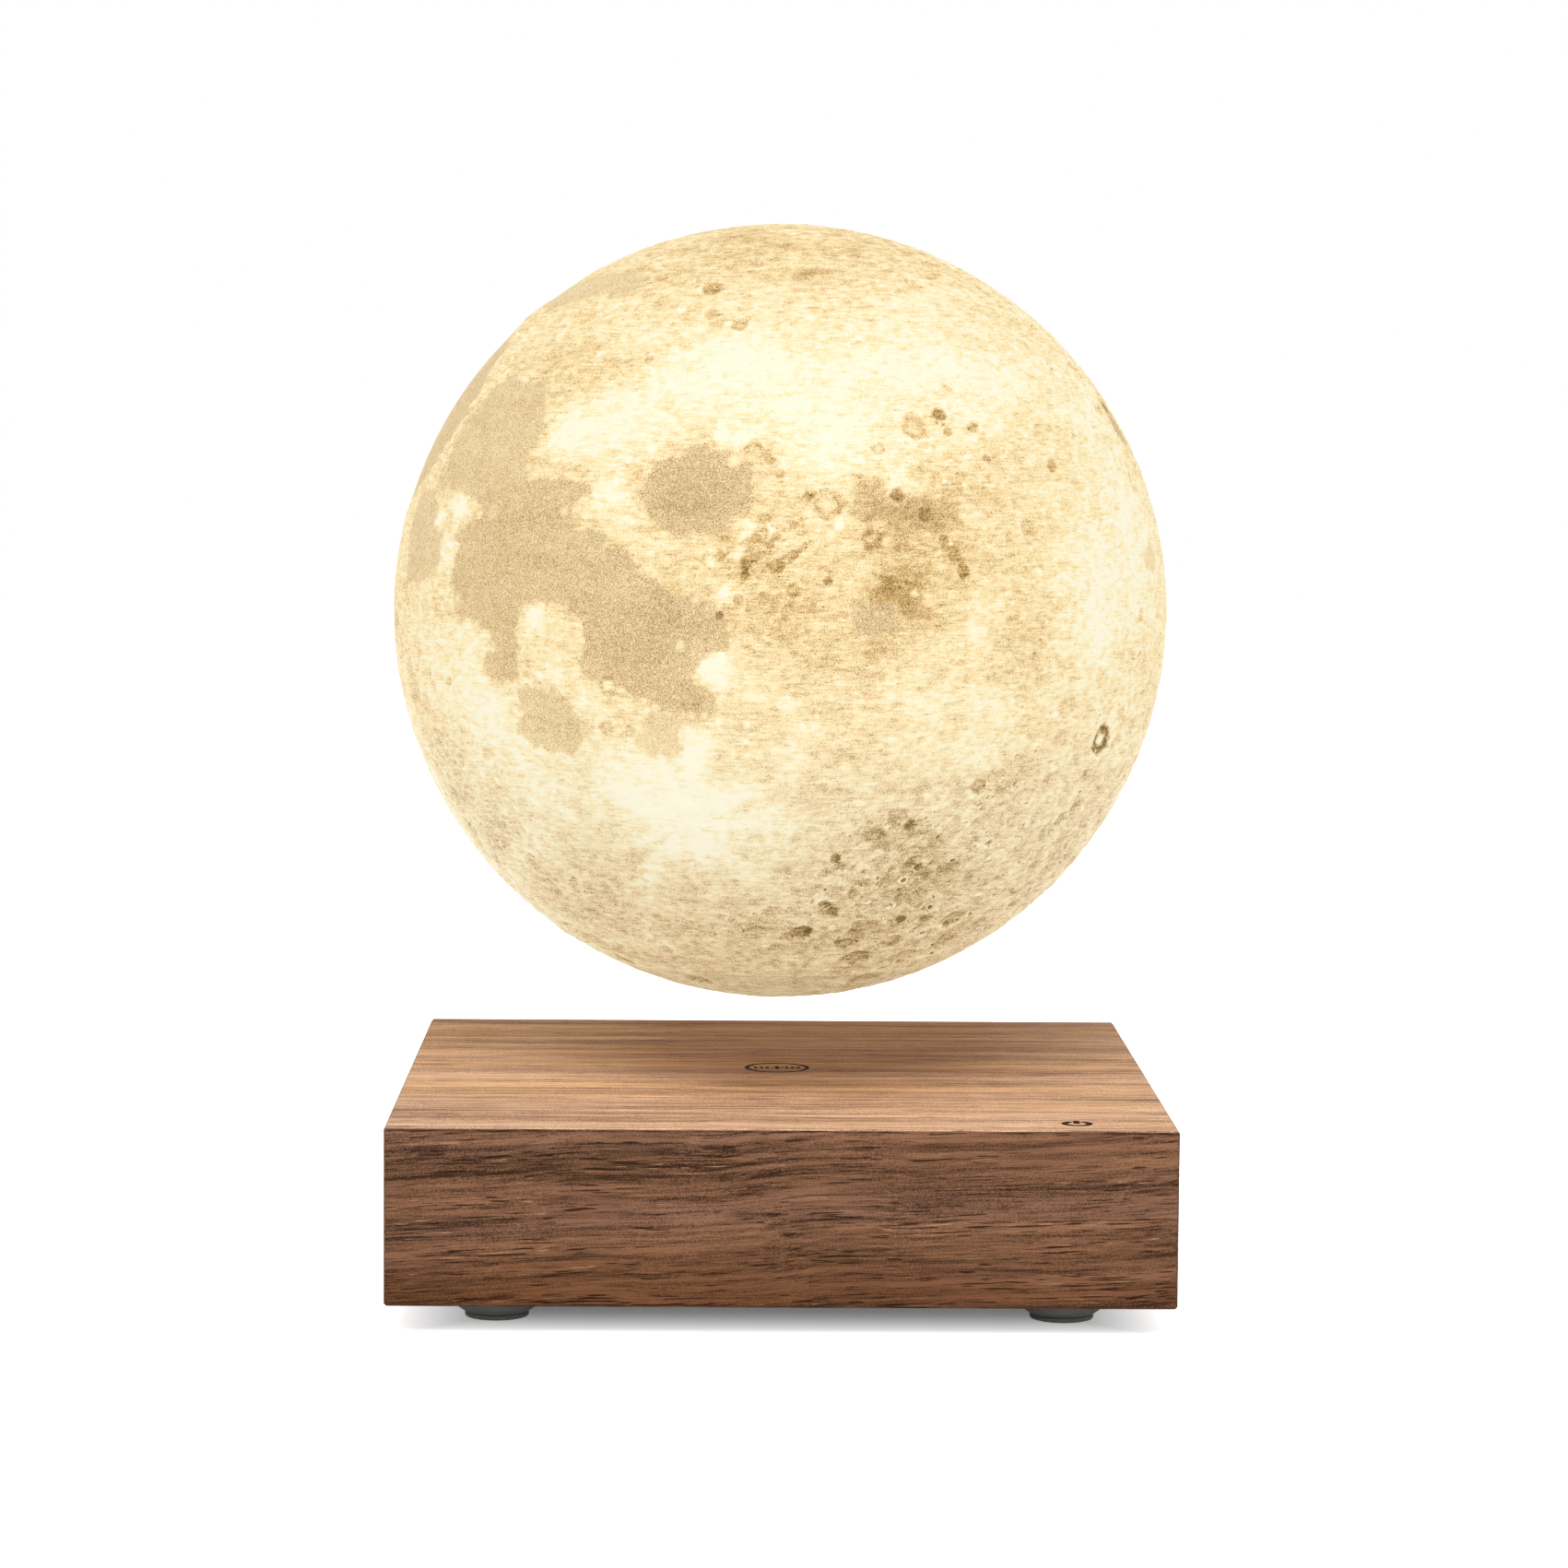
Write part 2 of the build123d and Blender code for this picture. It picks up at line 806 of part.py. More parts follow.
def make_receiver_lead():
    """The lead from the receiver coil up through the lid and down on the LED board."""
    start = receiver_lead_out()
    over = led_board_level + led_board_thickness + receiver_lead_rise
    points = [
        (start, 0, bay_seat + housing_wall + receiver_height),
        (start, 0, over),
        (receiver_lead_end, 0, over),
        (receiver_lead_end, 0, led_board_level + led_board_thickness),
    ]
    radius = 3 * receiver_lead_diameter
    return lead(points, [radius, radius], receiver_lead_diameter)


# Float magnet

def make_float_magnet():
    return disc(magnet_radius, magnet_thickness, (0, 0, magnet_level))


def make_backing_disc():
    return disc(magnet_radius, backing_thickness, (0, 0, backing_level))


# LED board

def make_led_board():
    octagon = RegularPolygon(led_board_flat_radius, 8, major_radius=False, rotation=quarter_turn / 4)
    return Pos(0, 0, led_board_level) * extrude(octagon, amount=led_board_thickness)


def make_leds():
    """A circle of LEDs that face up into the globe."""
    level = led_board_level + led_board_thickness
    leds = []
    for step in range(led_count):
        turn = 4 * quarter_turn * (2 * step + 1) / (2 * led_count)
        leds.append(Rot(0, 0, turn) * block(led_width, led_width, led_height, (led_circle_radius, 0, level)))
    return Compound(leds)


def make_led_driver():
    level = led_board_level + led_board_thickness
    return block(led_driver_width, led_driver_width, led_driver_height, (0, 0, level))


# Every node, with the name that its file gets

def make_nodes():
    nodes = {}
    top_panel = make_top_panel()
    for pilot in tray_screw_pilots():
        top_panel -= pilot
    nodes["top_panel"] = top_panel
    nodes["front_wall"] = make_wall(0)
    nodes["right_wall"] = make_wall(quarter_turn)
    nodes["back_wall"] = make_wall(2 * quarter_turn) - inlet_cut()
    nodes["left_wall"] = make_wall(3 * quarter_turn)
    for corner in corners:
        nodes["corner_block_" + corner] = make_corner_block(corner)
        nodes["foot_" + corner] = make_foot(corner)
    nodes["base_plate"] = make_base_plate()
    nodes["base_plate_screws"] = make_plate_screws()
    nodes["coil_tray"] = make_coil_tray()
    nodes["tray_screws"] = make_tray_screws()
    for number, place in enumerate(bobbin_places(), 1):
        nodes[f"coil_bobbin_{number}"] = make_bobbin(place)
        nodes[f"coil_winding_{number}"] = make_winding(place)
    nodes["coil_pins"] = make_coil_pins()
    nodes["ring_magnet"] = make_ring_magnet()
    nodes["transmitter_coil"] = make_transmitter_coil()
    nodes["hall_board"] = make_hall_board()
    nodes["hall_sensors"] = make_hall_sensors()
    nodes["hall_pins"] = make_hall_pins()
    nodes["control_board"] = make_control_board()
    nodes["board_screws"] = make_board_screws()
    nodes["driver_chips"] = make_driver_chips()
    nodes["controller_chip"] = make_controller_chip()
    nodes["capacitors"] = make_capacitors()
    nodes["dc_jack"] = make_dc_jack()
    nodes["jack_pin"] = make_jack_pin()
    nodes["touch_electrode"] = make_touch_electrode()
    nodes["touch_lead"] = make_touch_lead()
    nodes["moon_shell"] = make_moon_shell()
    nodes["moon_cap"] = make_moon_cap()
    nodes["magnet_housing"] = make_magnet_housing()
    nodes["housing_lid"] = make_housing_lid()
    nodes["lid_screws"] = make_lid_screws()
    nodes["receiver_coil"] = make_receiver_coil()
    nodes["receiver_lead"] = make_receiver_lead()
    nodes["led_board"] = make_led_board()
    nodes["leds"] = make_leds()
    nodes["led_driver"] = make_led_driver()
    nodes["float_magnet"] = make_float_magnet()
    nodes["backing_disc"] = make_backing_disc()
    return nodes


os.makedirs("parts", exist_ok=True)
for name, shape in make_nodes().items():
    export_step(shape, f"parts/{name}.step")
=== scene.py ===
"""A levitating moon lamp: a walnut base on rubber feet, and a printed moon globe that hovers above it."""
import json
import math

import bmesh
import bpy
import numpy as np
from mathutils import Matrix, Vector

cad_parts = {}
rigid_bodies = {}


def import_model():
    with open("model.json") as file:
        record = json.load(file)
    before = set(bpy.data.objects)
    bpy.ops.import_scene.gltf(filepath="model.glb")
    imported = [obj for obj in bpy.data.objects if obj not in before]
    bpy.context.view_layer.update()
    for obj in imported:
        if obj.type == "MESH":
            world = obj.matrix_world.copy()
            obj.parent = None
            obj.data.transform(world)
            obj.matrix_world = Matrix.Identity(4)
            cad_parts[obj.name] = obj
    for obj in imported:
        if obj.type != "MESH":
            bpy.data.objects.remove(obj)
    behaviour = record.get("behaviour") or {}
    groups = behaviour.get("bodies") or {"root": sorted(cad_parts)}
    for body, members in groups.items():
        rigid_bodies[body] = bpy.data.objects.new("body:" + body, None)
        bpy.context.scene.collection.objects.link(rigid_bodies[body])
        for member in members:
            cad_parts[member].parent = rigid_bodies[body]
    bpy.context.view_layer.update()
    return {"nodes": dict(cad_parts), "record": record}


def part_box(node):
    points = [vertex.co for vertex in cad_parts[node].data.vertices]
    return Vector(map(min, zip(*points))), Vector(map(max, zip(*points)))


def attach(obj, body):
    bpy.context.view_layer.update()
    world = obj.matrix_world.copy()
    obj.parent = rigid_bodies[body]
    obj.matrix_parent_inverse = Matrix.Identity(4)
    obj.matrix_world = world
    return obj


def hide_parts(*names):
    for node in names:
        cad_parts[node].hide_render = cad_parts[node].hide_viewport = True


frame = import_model()

bl_info = {
    "name": "Levitating moon lamp",
    "version": (1, 0, 0),
    "blender": (4, 5, 0),
    "location": "3D View > Sidebar > Moon lamp",
    "description": "Dresses the levitating moon lamp: printed globe, walnut base, fittings and studio",
    "category": "Add Mesh",
}

MM = 0.001

# Places read from the frame
shell_low, shell_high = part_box("moon_shell")
panel_low, panel_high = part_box("top_panel")
globe_radius = (shell_high.x - shell_low.x) / 2
globe_centre = Vector((0, 0, shell_high.z - globe_radius))
box_top = panel_high.z
base_width = panel_high.x - panel_low.x
base_middle = (panel_low + panel_high) / 2
touch_place = sum(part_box("touch_electrode"), Vector()) / 2

# Globe: lengths in metres, angles in degrees
shell_wall = 2.2 * MM
outer_margin = 0.3 * MM
seam_radius = 37.9 * MM
seam_gap = 0.12 * MM
land_radius = 11.5 * MM
housing_wall = 1.2 * MM
housing_fit = 0.15 * MM
magnet_gap = 0.35 * MM
hook_count = 3
hook_sweep = 14
hook_height = 4.2 * MM
hook_seat_gap = 0.5 * MM
hook_root = 0.8 * MM
cells_across = 118
inner_rows = 30
facing_longitude = 70.4
globe_tip = -3.55
globe_lean = -2.03
smooth_print = 40
moon_tones = ("Highlight", "Light", "Ground", "Sea", "Deep", "Spot")
tone_levels = (0.0, 0.25, 0.5, 0.7, 0.85, 1.0)
unlit_print = (0.30, 0.30, 0.30, 1)
cap_glow_share = 0.85

# Craters: the standing-out ones' greatest depth, and of each scatter the spacing share, least and greatest radius
deepest_crater = 0.5 * MM
crater_scatters = ((1.0, 0.75 * MM, 1.5 * MM), (3.4, 1.7 * MM, 3.2 * MM))
least_wildness = 0.18

# Walnut: figure and shine of the top and of the walls, the share of the stripe spacing that the walls have and the
# tilt of their grain in degrees, the painted shadow of the globe on the top, the seam under the top's edge, and the
# grain's dashes
top_figure = {"Pore amount": 0.0, "Sway": 4 * MM, "Stripes": 1.5, "Lines": 2.1, "Fibres": 1.6, "Speckle": 0.7,
              "Golden": 0.6}
wall_figure = {"Pore amount": 0.8, "Sway": 6 * MM, "Stripes": 1.5, "Lines": 1.8, "Fibres": 1.5, "Speckle": 0.9}
wall_stripe_share = 0.55
wall_tilt = 2
top_shine, wall_shine = 0.03, 0.08
painted_shadow_middle = (8 * MM, 38 * MM, box_top)
painted_shadow_reach = (62 * MM, 90 * MM)
seam_levels = [box_top - depth * MM for depth in (0.95, 0.6, 0.5, 0.3)]
dash_width = 0.38 * MM

# Burnt marks: the cross and the ticks in the ring, and the gap in the power mark's arc in degrees
cross_reach = (1.1 * MM, 1.6 * MM)
tick_places = (2.2 * MM, 3.5 * MM, 4.8 * MM)
tick_reach = 0.8 * MM
arc_gap = 72

# Sides of the turned shapes, and the feet's smooth limit in degrees
ring_sides, foot_sides, hook_sides = 120, 96, 8
smooth_foot = 35

# Camera as fitted to the photo, and the soft lights: lens in millimetres, turns in degrees, size, power and place
camera_lens = 107.27
camera_place = (-14.61 * MM, -1044.25 * MM, 198.69 * MM)
camera_turns = ((-0.862, "Z"), (-4.967, "X"), (-0.432, "Y"), (90, "X"))
key_size, key_place = 1.2, (-0.15, -1.5, 1.7)
front_size, front_place = 1.4, (0.9, -2.2, 0.7)

# The floor's own glow, weakened under the base as a painted shadow: how far past the base it starts and is full, and
# its least strength under the base
painted_shadow_edge = (-30 * MM, 12 * MM)
painted_shadow_least_glow = 0.15

# Dark seas in front: darkness, then the shore as latitudes and longitudes in turn
seas = [
    (0.72, [(37.2, 14), (35.8, 10.2), (33, 8.6), (30.5, 6), (27, 6.2), (24.5, 5.3), (21.5, 5.6), (20, 4.5), (18.8, 8),
        (18.6, 14), (17, 17.5), (17, 30), (20.5, 29.3), (22.5, 28.3), (25, 29.6), (27, 30.2), (30, 28.6), (31.5, 27.5),
        (34, 27.2), (35.8, 25.2), (35.4, 20), (36.4, 17)]),
    (1, [(18, 17.5), (19.5, 22), (20, 28), (19.3, 32), (19.4, 36), (18.6, 40), (17, 41.5), (15, 39.5), (12.8, 39),
        (11.6, 41.5), (10.3, 45), (9.3, 44.5), (8.6, 47.5), (6.2, 49.5), (3.6, 51), (0.5, 48), (0, 42), (0.8, 36.5),
        (1.8, 34.5), (1.7, 31.5), (0.2, 30.3), (-2, 29.6), (-4.5, 29.2), (-7.5, 29.4), (-9.3, 28), (-9.6, 25),
        (-8, 21.8), (-5.8, 22), (-4.6, 24.5), (-2.2, 24.2), (-0.8, 20.5), (-0.4, 16.8), (2, 15.3), (5, 15.6),
        (8.5, 15.2), (11.8, 15.3), (13.2, 17.5), (15, 20.3), (16, 19.5)]),
    (0.96, [(6, 49.5), (4, 51.5), (2.3, 55), (2.6, 58), (0.8, 60.5), (-2, 61.5), (-5.6, 62), (-6.4, 58.5), (-8, 57.2),
        (-10, 57.6), (-12, 60), (-14, 59), (-15, 56), (-14, 52), (-12, 48.5), (-10.4, 45.5), (-9.6, 42), (-8.5, 40.5),
        (-6.2, 39.8), (-5, 41), (-2.2, 40.6), (0.5, 39.5), (3, 42)]),
    (0.45, [(-13, 50), (-14, 55), (-16, 58), (-17, 54), (-20.5, 54), (-21, 50), (-19, 47), (-16.5, 48)]),
    (0.66, [(-11, 28), (-10.2, 31), (-11, 35), (-12.8, 38), (-15.5, 38.6), (-18, 38.8), (-20, 37.2), (-19.8, 33),
        (-18.6, 29.6), (-16, 27.6), (-13, 28.8)]),
    (1, [(21.5, 51.5), (22, 55), (23.3, 58), (23, 61), (21.7, 64), (20.6, 66.5), (18, 67), (15.5, 66), (13.3, 65),
        (11.6, 63), (10, 61), (10.2, 56), (11.5, 53), (14, 50.8), (16.5, 49.4), (19.7, 50)]),
    (0.7, [(19, 4.5), (19.5, -3), (12, -4), (6, -2), (5.5, 4), (6.5, 9), (9, 11), (12.5, 10.5), (13.5, 7), (16, 8)]),
    (0.62, [(57.5, -6), (60, 8), (60.5, 20), (59, 29), (57.2, 34), (54.2, 37), (52.6, 33), (53, 24), (52.4, 14),
        (51, 4), (53, -8)]),
    (1.1, [(17.6, 81), (16.8, 84), (15.4, 85.3), (15.2, 88.8), (14.6, 91.5), (13.2, 94.5), (11.4, 96), (10.4, 93),
        (10.2, 88), (11.2, 84), (10.8, 80.5), (12.8, 79.3), (15, 80.6)]),
    (1.6, [(4.4, 84), (4.4, 90.3), (1.2, 90), (-0.6, 90), (-2, 91), (-1.6, 87), (-0.4, 85.8), (0.6, 82.8),
        (2.4, 82.6)]),
    (0.8, [(0, 79.6), (0.2, 86), (-3, 85.4), (-4.6, 84.6), (-4.4, 80)]),
    (1.2, [(-5.3, 80.8), (-5.2, 84.4), (-7.4, 87), (-7.4, 84), (-6.9, 81.6)]),
    (1.5, [(57.6, 76), (58.2, 79), (56.8, 82), (56.9, 85), (55.2, 85), (55, 81), (54.4, 77), (55.4, 73.8),
        (56.4, 73)]),
]

# Dark seas beyond the limb and behind: latitude, longitude, half width, half height, turn, darkness
oval_seas = [
    (58, -30, 16, 4, 0, 0.7), (33, -16, 17, 15, 0, 0.95), (8, -30, 12, 9, 0, 0.85), (20, -57, 12, 17, 0, 0.95),
    (40, -57, 12, 9, 0, 0.8), (0, -50, 12, 10, 0, 0.9), (-10, -28, 7, 6, 0, 0.85), (-21, -25, 8, 8, 0, 0.85),
    (-24, -39, 7, 6.5, 0, 0.95), (27, 147.4, 3.6, 4.4, 0, 1.1), (-34, 163, 4.6, 4, 0, 1.2), (-36, 151, 2.6, 2.6, 0, 1),
    (6, 141, 3, 2.6, 0, 0.6), (-20, -94.5, 5.4, 5, 0, 1.4), (-5, -112, 3, 2.4, 0, 0.8), (-56, -168, 17, 13, 0, 0.7),
]

# Light and dull ground, and one dull patch of painted shade at the globe's left edge: latitude, longitude, spread,
# lightness
grounds = [
    (28, 37, 5, 0.2), (28, 46, 6, 0.24), (33, 57, 7, 0.23), (24.5, 34.5, 3, 0.2), (17, 45, 3, 0.26), (13, 48, 2, 0.14),
    (38, 66, 8, 0.12), (31, 76, 10, 0.22), (36, 97, 10, 0.24), (31, 108, 8, 0.1), (48, 110, 12, 0.1),
    (30, 132, 12, 0.16), (8, 134, 12, 0.22), (-4, 121, 8, 0.24), (8, 117, 7, 0.14), (-14, 89, 6, 0.1),
    (-19, 99, 6, 0.14), (-17, 72, 3, 0.06), (-14, 22, 5, 0.24), (-23, 27, 6, 0.2), (-10, 14, 5, 0.2), (-4, 9, 5, 0.11),
    (-4, 18, 4, 0.16), (-27, 50, 7, 0.26), (-31, 60, 7, 0.18), (-36, 53, 4, 0.16), (-28, 70, 6, -0.01),
    (-24, 44, 5, 0.14), (-13, 41.5, 2.4, 0.16), (-8, 36, 2.4, 0.2), (-0.4, 32.6, 1.9, 0.34), (15.6, 15, 1.8, 0.34),
    (14.4, 9, 1.6, 0.3), (15.2, 22.6, 1.1, 0.26), (2.5, 16.6, 0.9, 0.36), (9, 12.5, 3, 0.18), (-8.3, 60, 2.7, 0.44),
    (-19.4, 57, 2.2, 0.22), (24, 63.6, 1.7, 0.22), (11.4, 65.4, 1.5, 0.26), (2.2, 61.9, 1, 0.36), (7.6, 64.3, 1, 0.26),
    (17.6, 87.6, 2.2, 0.22), (-3.8, 97.2, 1.4, 0.24), (12.3, 97.8, 1.8, 0.16), (45, 45, 10, 0.08), (48, 70, 10, 0.06),
    (-13.6, 69.6, 0.9, 0.22), (-11, 66, 3, 0.06), (24, 80, 6, 0.14), (20, 76, 4, 0.1), (-1, 104, 6, 0.06),
    (38, 26, 3.6, -0.12), (36.4, 33, 4, -0.1), (34.6, 38, 3, -0.08), (7, 67, 4.6, -0.09), (-4, 74, 9, -0.09),
    (-2, 68, 5, -0.05), (-12, 56, 5, -0.05), (7, 86, 6, -0.1), (6, 95, 4.4, -0.12), (12, 99, 5, -0.07),
    (13, 92, 5, -0.14), (-2.5, 84, 5, -0.08), (-4, 110, 6, -0.08), (-8, 103, 5, -0.05), (-33, 88, 5, -0.1),
    (-39, 94, 8, -0.14), (-44, 102, 9, -0.04), (-50, 84, 9, -0.12), (-48, 112, 9, -0.03), (-50, 60, 10, -0.1),
    (-40, 66, 7, -0.04), (-38, 20, 12, -0.08), (-52, 10, 14, -0.1), (-24, 2, 8, -0.06), (-27, 104, 5, -0.07),
    (-24, 109, 5, -0.06), (-36, 133, 9, -0.08), (-46, 132, 12, -0.1), (-62, 90, 14, -0.08), (-66, 40, 16, -0.1),
    (-72, 130, 16, -0.12), (64, 60, 12, -0.06), (66, 110, 14, -0.06), (57, 122, 9, -0.04), (53, 56, 4, -0.06),
    (45, 60, 4, -0.05), (26.7, 146, 6, -0.1), (1, 71, 4, -0.05), (16.5, 58, 5, -0.16), (-4, 51, 5, -0.16),
    # The patch at latitude -2, longitude -16 is painted shade along the left edge of the globe's front
    (-2, -16, 12, -0.1), (-34, 2, 9, -0.05), (-16, 5, 3, -0.04), (-17, 66, 3, -0.03), (72, 58, 5, -0.09),
    (66, 24, 5, -0.05), (-43, -11, 12, 0.08), (10, -27, 5, 0.12), (8, -38, 5, 0.2), (24, -47, 5, 0.24),
    (-5, -68, 10, 0.16), (45, -100, 18, 0.12), (10, -110, 16, 0.14), (-20, -130, 16, 0.1), (5, 170, 18, 0.16),
    (35, 175, 16, 0.12), (-30, -170, 12, 0.08), (60, -150, 18, 0.04), (0, -155, 12, 0.12), (-66, -120, 16, -0.1),
    (50, 160, 14, 0.08),
]

# Rough ground with many craters: latitude, longitude, spread, roughness
rough_grounds = [
    (-42, 92, 13, 0.9), (-50, 112, 14, 0.8), (-32, 104, 9, 0.5), (-55, 70, 12, 0.5), (6, 67, 6, 0.6), (13, 88, 8, 0.4),
    (-25, 125, 14, 0.4), (50, 60, 16, 0.35), (24, 100, 10, 0.3), (-60, 140, 20, 0.6), (60, 130, 20, 0.3),
    (-50, 10, 20, 0.4), (-30, -10, 25, 0.5), (10, -120, 40, 0.5), (-20, 180, 50, 0.6), (40, -150, 40, 0.5),
    (-50, -90, 30, 0.6), (30, 165, 20, 0.4),
]

# Craters that stand out: latitude, longitude, radius, darkness of the floor, lightness of the middle
craters = [
    (27.2, 96.2, 1.25, 1.1, 0), (25.3, 91.5, 2.2, 0.55, 1), (24.5, 97, 0.9, 0.6, 0), (25.2, 101.8, 1.1, 0.7, 0),
    (31.4, 99.2, 1.2, 0.5, 0), (30.6, 102, 0.8, 0.3, 0), (22, 85, 1.2, 0.6, 0.6), (20.3, 102.8, 0.9, 0.6, 0),
    (19.3, 115.5, 1.2, 0.6, 0), (15.2, 87.1, 1.2, 0.8, 0), (14, 76.8, 2.4, 0.6, 1), (15.3, 74, 0.8, 0.7, 0),
    (14.3, 79.2, 0.7, 0.6, 0), (12.4, 76.4, 0.9, 0.6, 0), (16.2, 76.2, 0.5, 0.5, 0), (9, 82.7, 1.7, 0.6, 1),
    (8.5, 93.3, 1, 0.6, 0), (10.3, 107.6, 1.3, 0.4, 0), (4.2, 96, 1.2, 0.6, 0), (6.5, 95, 1.3, 0.35, 0),
    (12.3, 91, 1.2, 0.4, 0), (22.6, 66.3, 1.5, 0.5, 0.8), (21, 68.6, 1, 0.5, 0), (22.4, 65.4, 0.6, 0.7, 0),
    (18.6, 70, 0.9, 0.4, 0), (12, 67.8, 1.1, 0.5, 0.4), (11.2, 71.8, 0.7, 0.4, 0), (7.3, 61.6, 0.9, 0.8, 0),
    (8.3, 66.8, 2.1, 0.5, 0.8), (6.2, 65.2, 1.2, 0.7, 0), (5.7, 69.3, 1.3, 0.7, 0.3), (4.3, 64.7, 0.8, 0.8, 0),
    (7.1, 71.6, 0.9, 0.6, 0), (9.6, 69.3, 0.9, 0.5, 0), (8.3, 73.2, 0.6, 0.6, 0), (2.2, 71.4, 1.1, 0.6, 0.3),
    (2.8, 68.6, 0.6, 0.5, 0), (3.2, 76.3, 0.8, 0.6, 0), (-1, 61.2, 0.7, 0.6, 0), (-1.6, 70.2, 0.6, 0.5, 0),
    (1.2, 63.8, 0.9, 0.5, 0), (44, 63.2, 1.4, 0.7, 0), (45.4, 65, 0.7, 0.4, 0), (46.7, 57.3, 1.4, 0.4, 0),
    (38, 47, 0.8, 0.5, 0), (52.8, 56, 1.8, 0.6, 0), (56.2, 40, 1.4, 0.3, 0), (-10.3, 44.1, 1.7, 0.4, 1),
    (-16.3, 43, 1.4, 0.5, 0.5), (-16.8, 46.8, 1, 0.4, 0), (-19.2, 44.2, 0.8, 0.4, 0), (-28.3, 78, 2.6, 0.18, 0.8),
    (-26.8, 101.4, 1.4, 0.8, 0.2), (-31, 88, 1.7, 0.6, 0.5), (-32.7, 90.6, 1.3, 0.6, 0), (-34, 84.5, 1.8, 0.5, 0.2),
    (-35.9, 86.6, 1.2, 0.4, 0), (-38, 78.1, 1, 1, 0), (-39.6, 79.4, 0.8, 0.4, 0), (-36.2, 104, 1.3, 0.4, 0),
    (-35.6, 96, 1.5, 0.3, 0.5), (-40.5, 92.5, 1.7, 0.4, 0.6), (-41, 97.5, 2, 0.35, 0.5), (-43, 88.5, 1.4, 0.4, 0.4),
    (-45.5, 94.5, 2.2, 0.35, 0.6), (-47, 76.9, 1.1, 0.9, 0), (-49, 79, 1.2, 0.7, 0), (-48.5, 100, 1.5, 0.4, 0.4),
    (-53.4, 72.6, 1.8, 0.9, 0), (-54.6, 68.2, 1.1, 0.5, 0), (-51.3, 96, 1.1, 0.9, 0), (-51.6, 103, 1.4, 0.7, 0),
    (-52, 111, 2, 0.6, 0.2), (-53.5, 88, 2.8, 0.4, 0.8), (-57, 84, 1.7, 0.6, 0), (-57, 97.5, 2, 0.5, 0.3),
    (-61.5, 90, 2.4, 0.6, 0.2), (-58.5, 117, 2.6, 0.6, 0), (-62, 107, 2.4, 0.5, 0.3), (-70, 103, 3, 0.5, 0),
    (-33, 124.3, 1.4, 0.7, 0), (-26, 116, 1.1, 0.3, 0), (-25.8, 126, 1, 0.3, 0), (-39, 104.5, 1.1, 0.4, 0),
    (21.6, 47, 0.8, -0.4, -1), (24.6, 61.4, 1.5, -0.4, -1), (20.9, 63.4, 1.2, -0.4, -1), (6.6, 60.2, 1.1, -0.4, -1),
    (1.2, 57.8, 0.9, -0.3, -1), (-4.9, 55.4, 1, -0.3, -1), (-6.6, 61.2, 0.9, -0.3, -1), (9.8, 64.6, 0.8, -0.3, -1),
    (14.4, 37.2, 0.9, -0.3, -1), (18.2, 45.6, 0.7, -0.3, -1), (1.4, 88.4, 0.7, -0.4, -1), (-8.6, 33, 0.9, -0.3, -1),
    (-9, 12, 0.9, 0.5, 0), (-20, 18, 1.3, 0.35, 0), (-69, 28, 2.5, 0.6, 0), (-61.5, 6, 2.2, 0.7, 0),
    (-20.3, 127.3, 2.5, 1.7, 1.3), (30, 147, 1.4, 0.8, 0), (36, 142, 2, 0.3, 0.5), (-43.3, -11.2, 2.4, 0.4, 1),
    (9.6, -20.1, 2.2, 0.5, 0.9), (8.1, -38, 1.5, 0.4, 0.9), (-9.5, -1.8, 3, 0.3, 0.4), (51.6, -9.4, 2.2, 1, 0),
    (-3.4, -68, 3.4, 0.9, 0), (-58.4, -14.4, 4, 0.4, 0.6), (-20, -95, 8, 0.3, 0), (4.4, -157, 5, 0.3, 0.5),
    (-36, -151, 5, 0.6, 0.4), (58, -147, 6, 0.2, 0.4), (-5.5, -140, 4.2, 0.3, 0.5), (36, -130, 4, 0.3, 0.4),
    (-10, 165, 4, 0.3, 0.5), (20, 178, 4.4, 0.2, 0.5), (45, -170, 4, 0.3, 0.4), (12, -100, 3.4, 0.3, 0.4),
    (-34, -120, 3.2, 0.4, 0.4),
]

# Young craters with bright rays: latitude, longitude, length of the rays
ray_craters = [
    (-31, 53, 15), (-43.3, -11.2, 30), (9.6, -20.1, 8), (23.7, -47.5, 12), (50, -100, 14), (-4, -158, 16),
    (-36, -70, 14),
]

# Settings

def srgb(red, green, blue):
    """A colour as the shaders take it, from the 0 to 255 values of a colour chart."""
    shares = [value / 255 for value in (red, green, blue)]
    linear = [s / 12.92 if s <= 0.04045 else ((s + 0.055) / 1.055) ** 2.4 for s in shares]
    return (*linear, 1.0)


def colour_setting(name, description, *chart_colour):
    return bpy.props.FloatVectorProperty(
        name=name, description=description, subtype="COLOR", size=4, min=0, max=1, default=srgb(*chart_colour))


def number_setting(name, description, default, **more):
    return bpy.props.FloatProperty(name=name, description=description, min=0, default=default, **more)


def length_setting(name, description, metres):
    return number_setting(name, description, metres, subtype="DISTANCE", unit="LENGTH", precision=5)


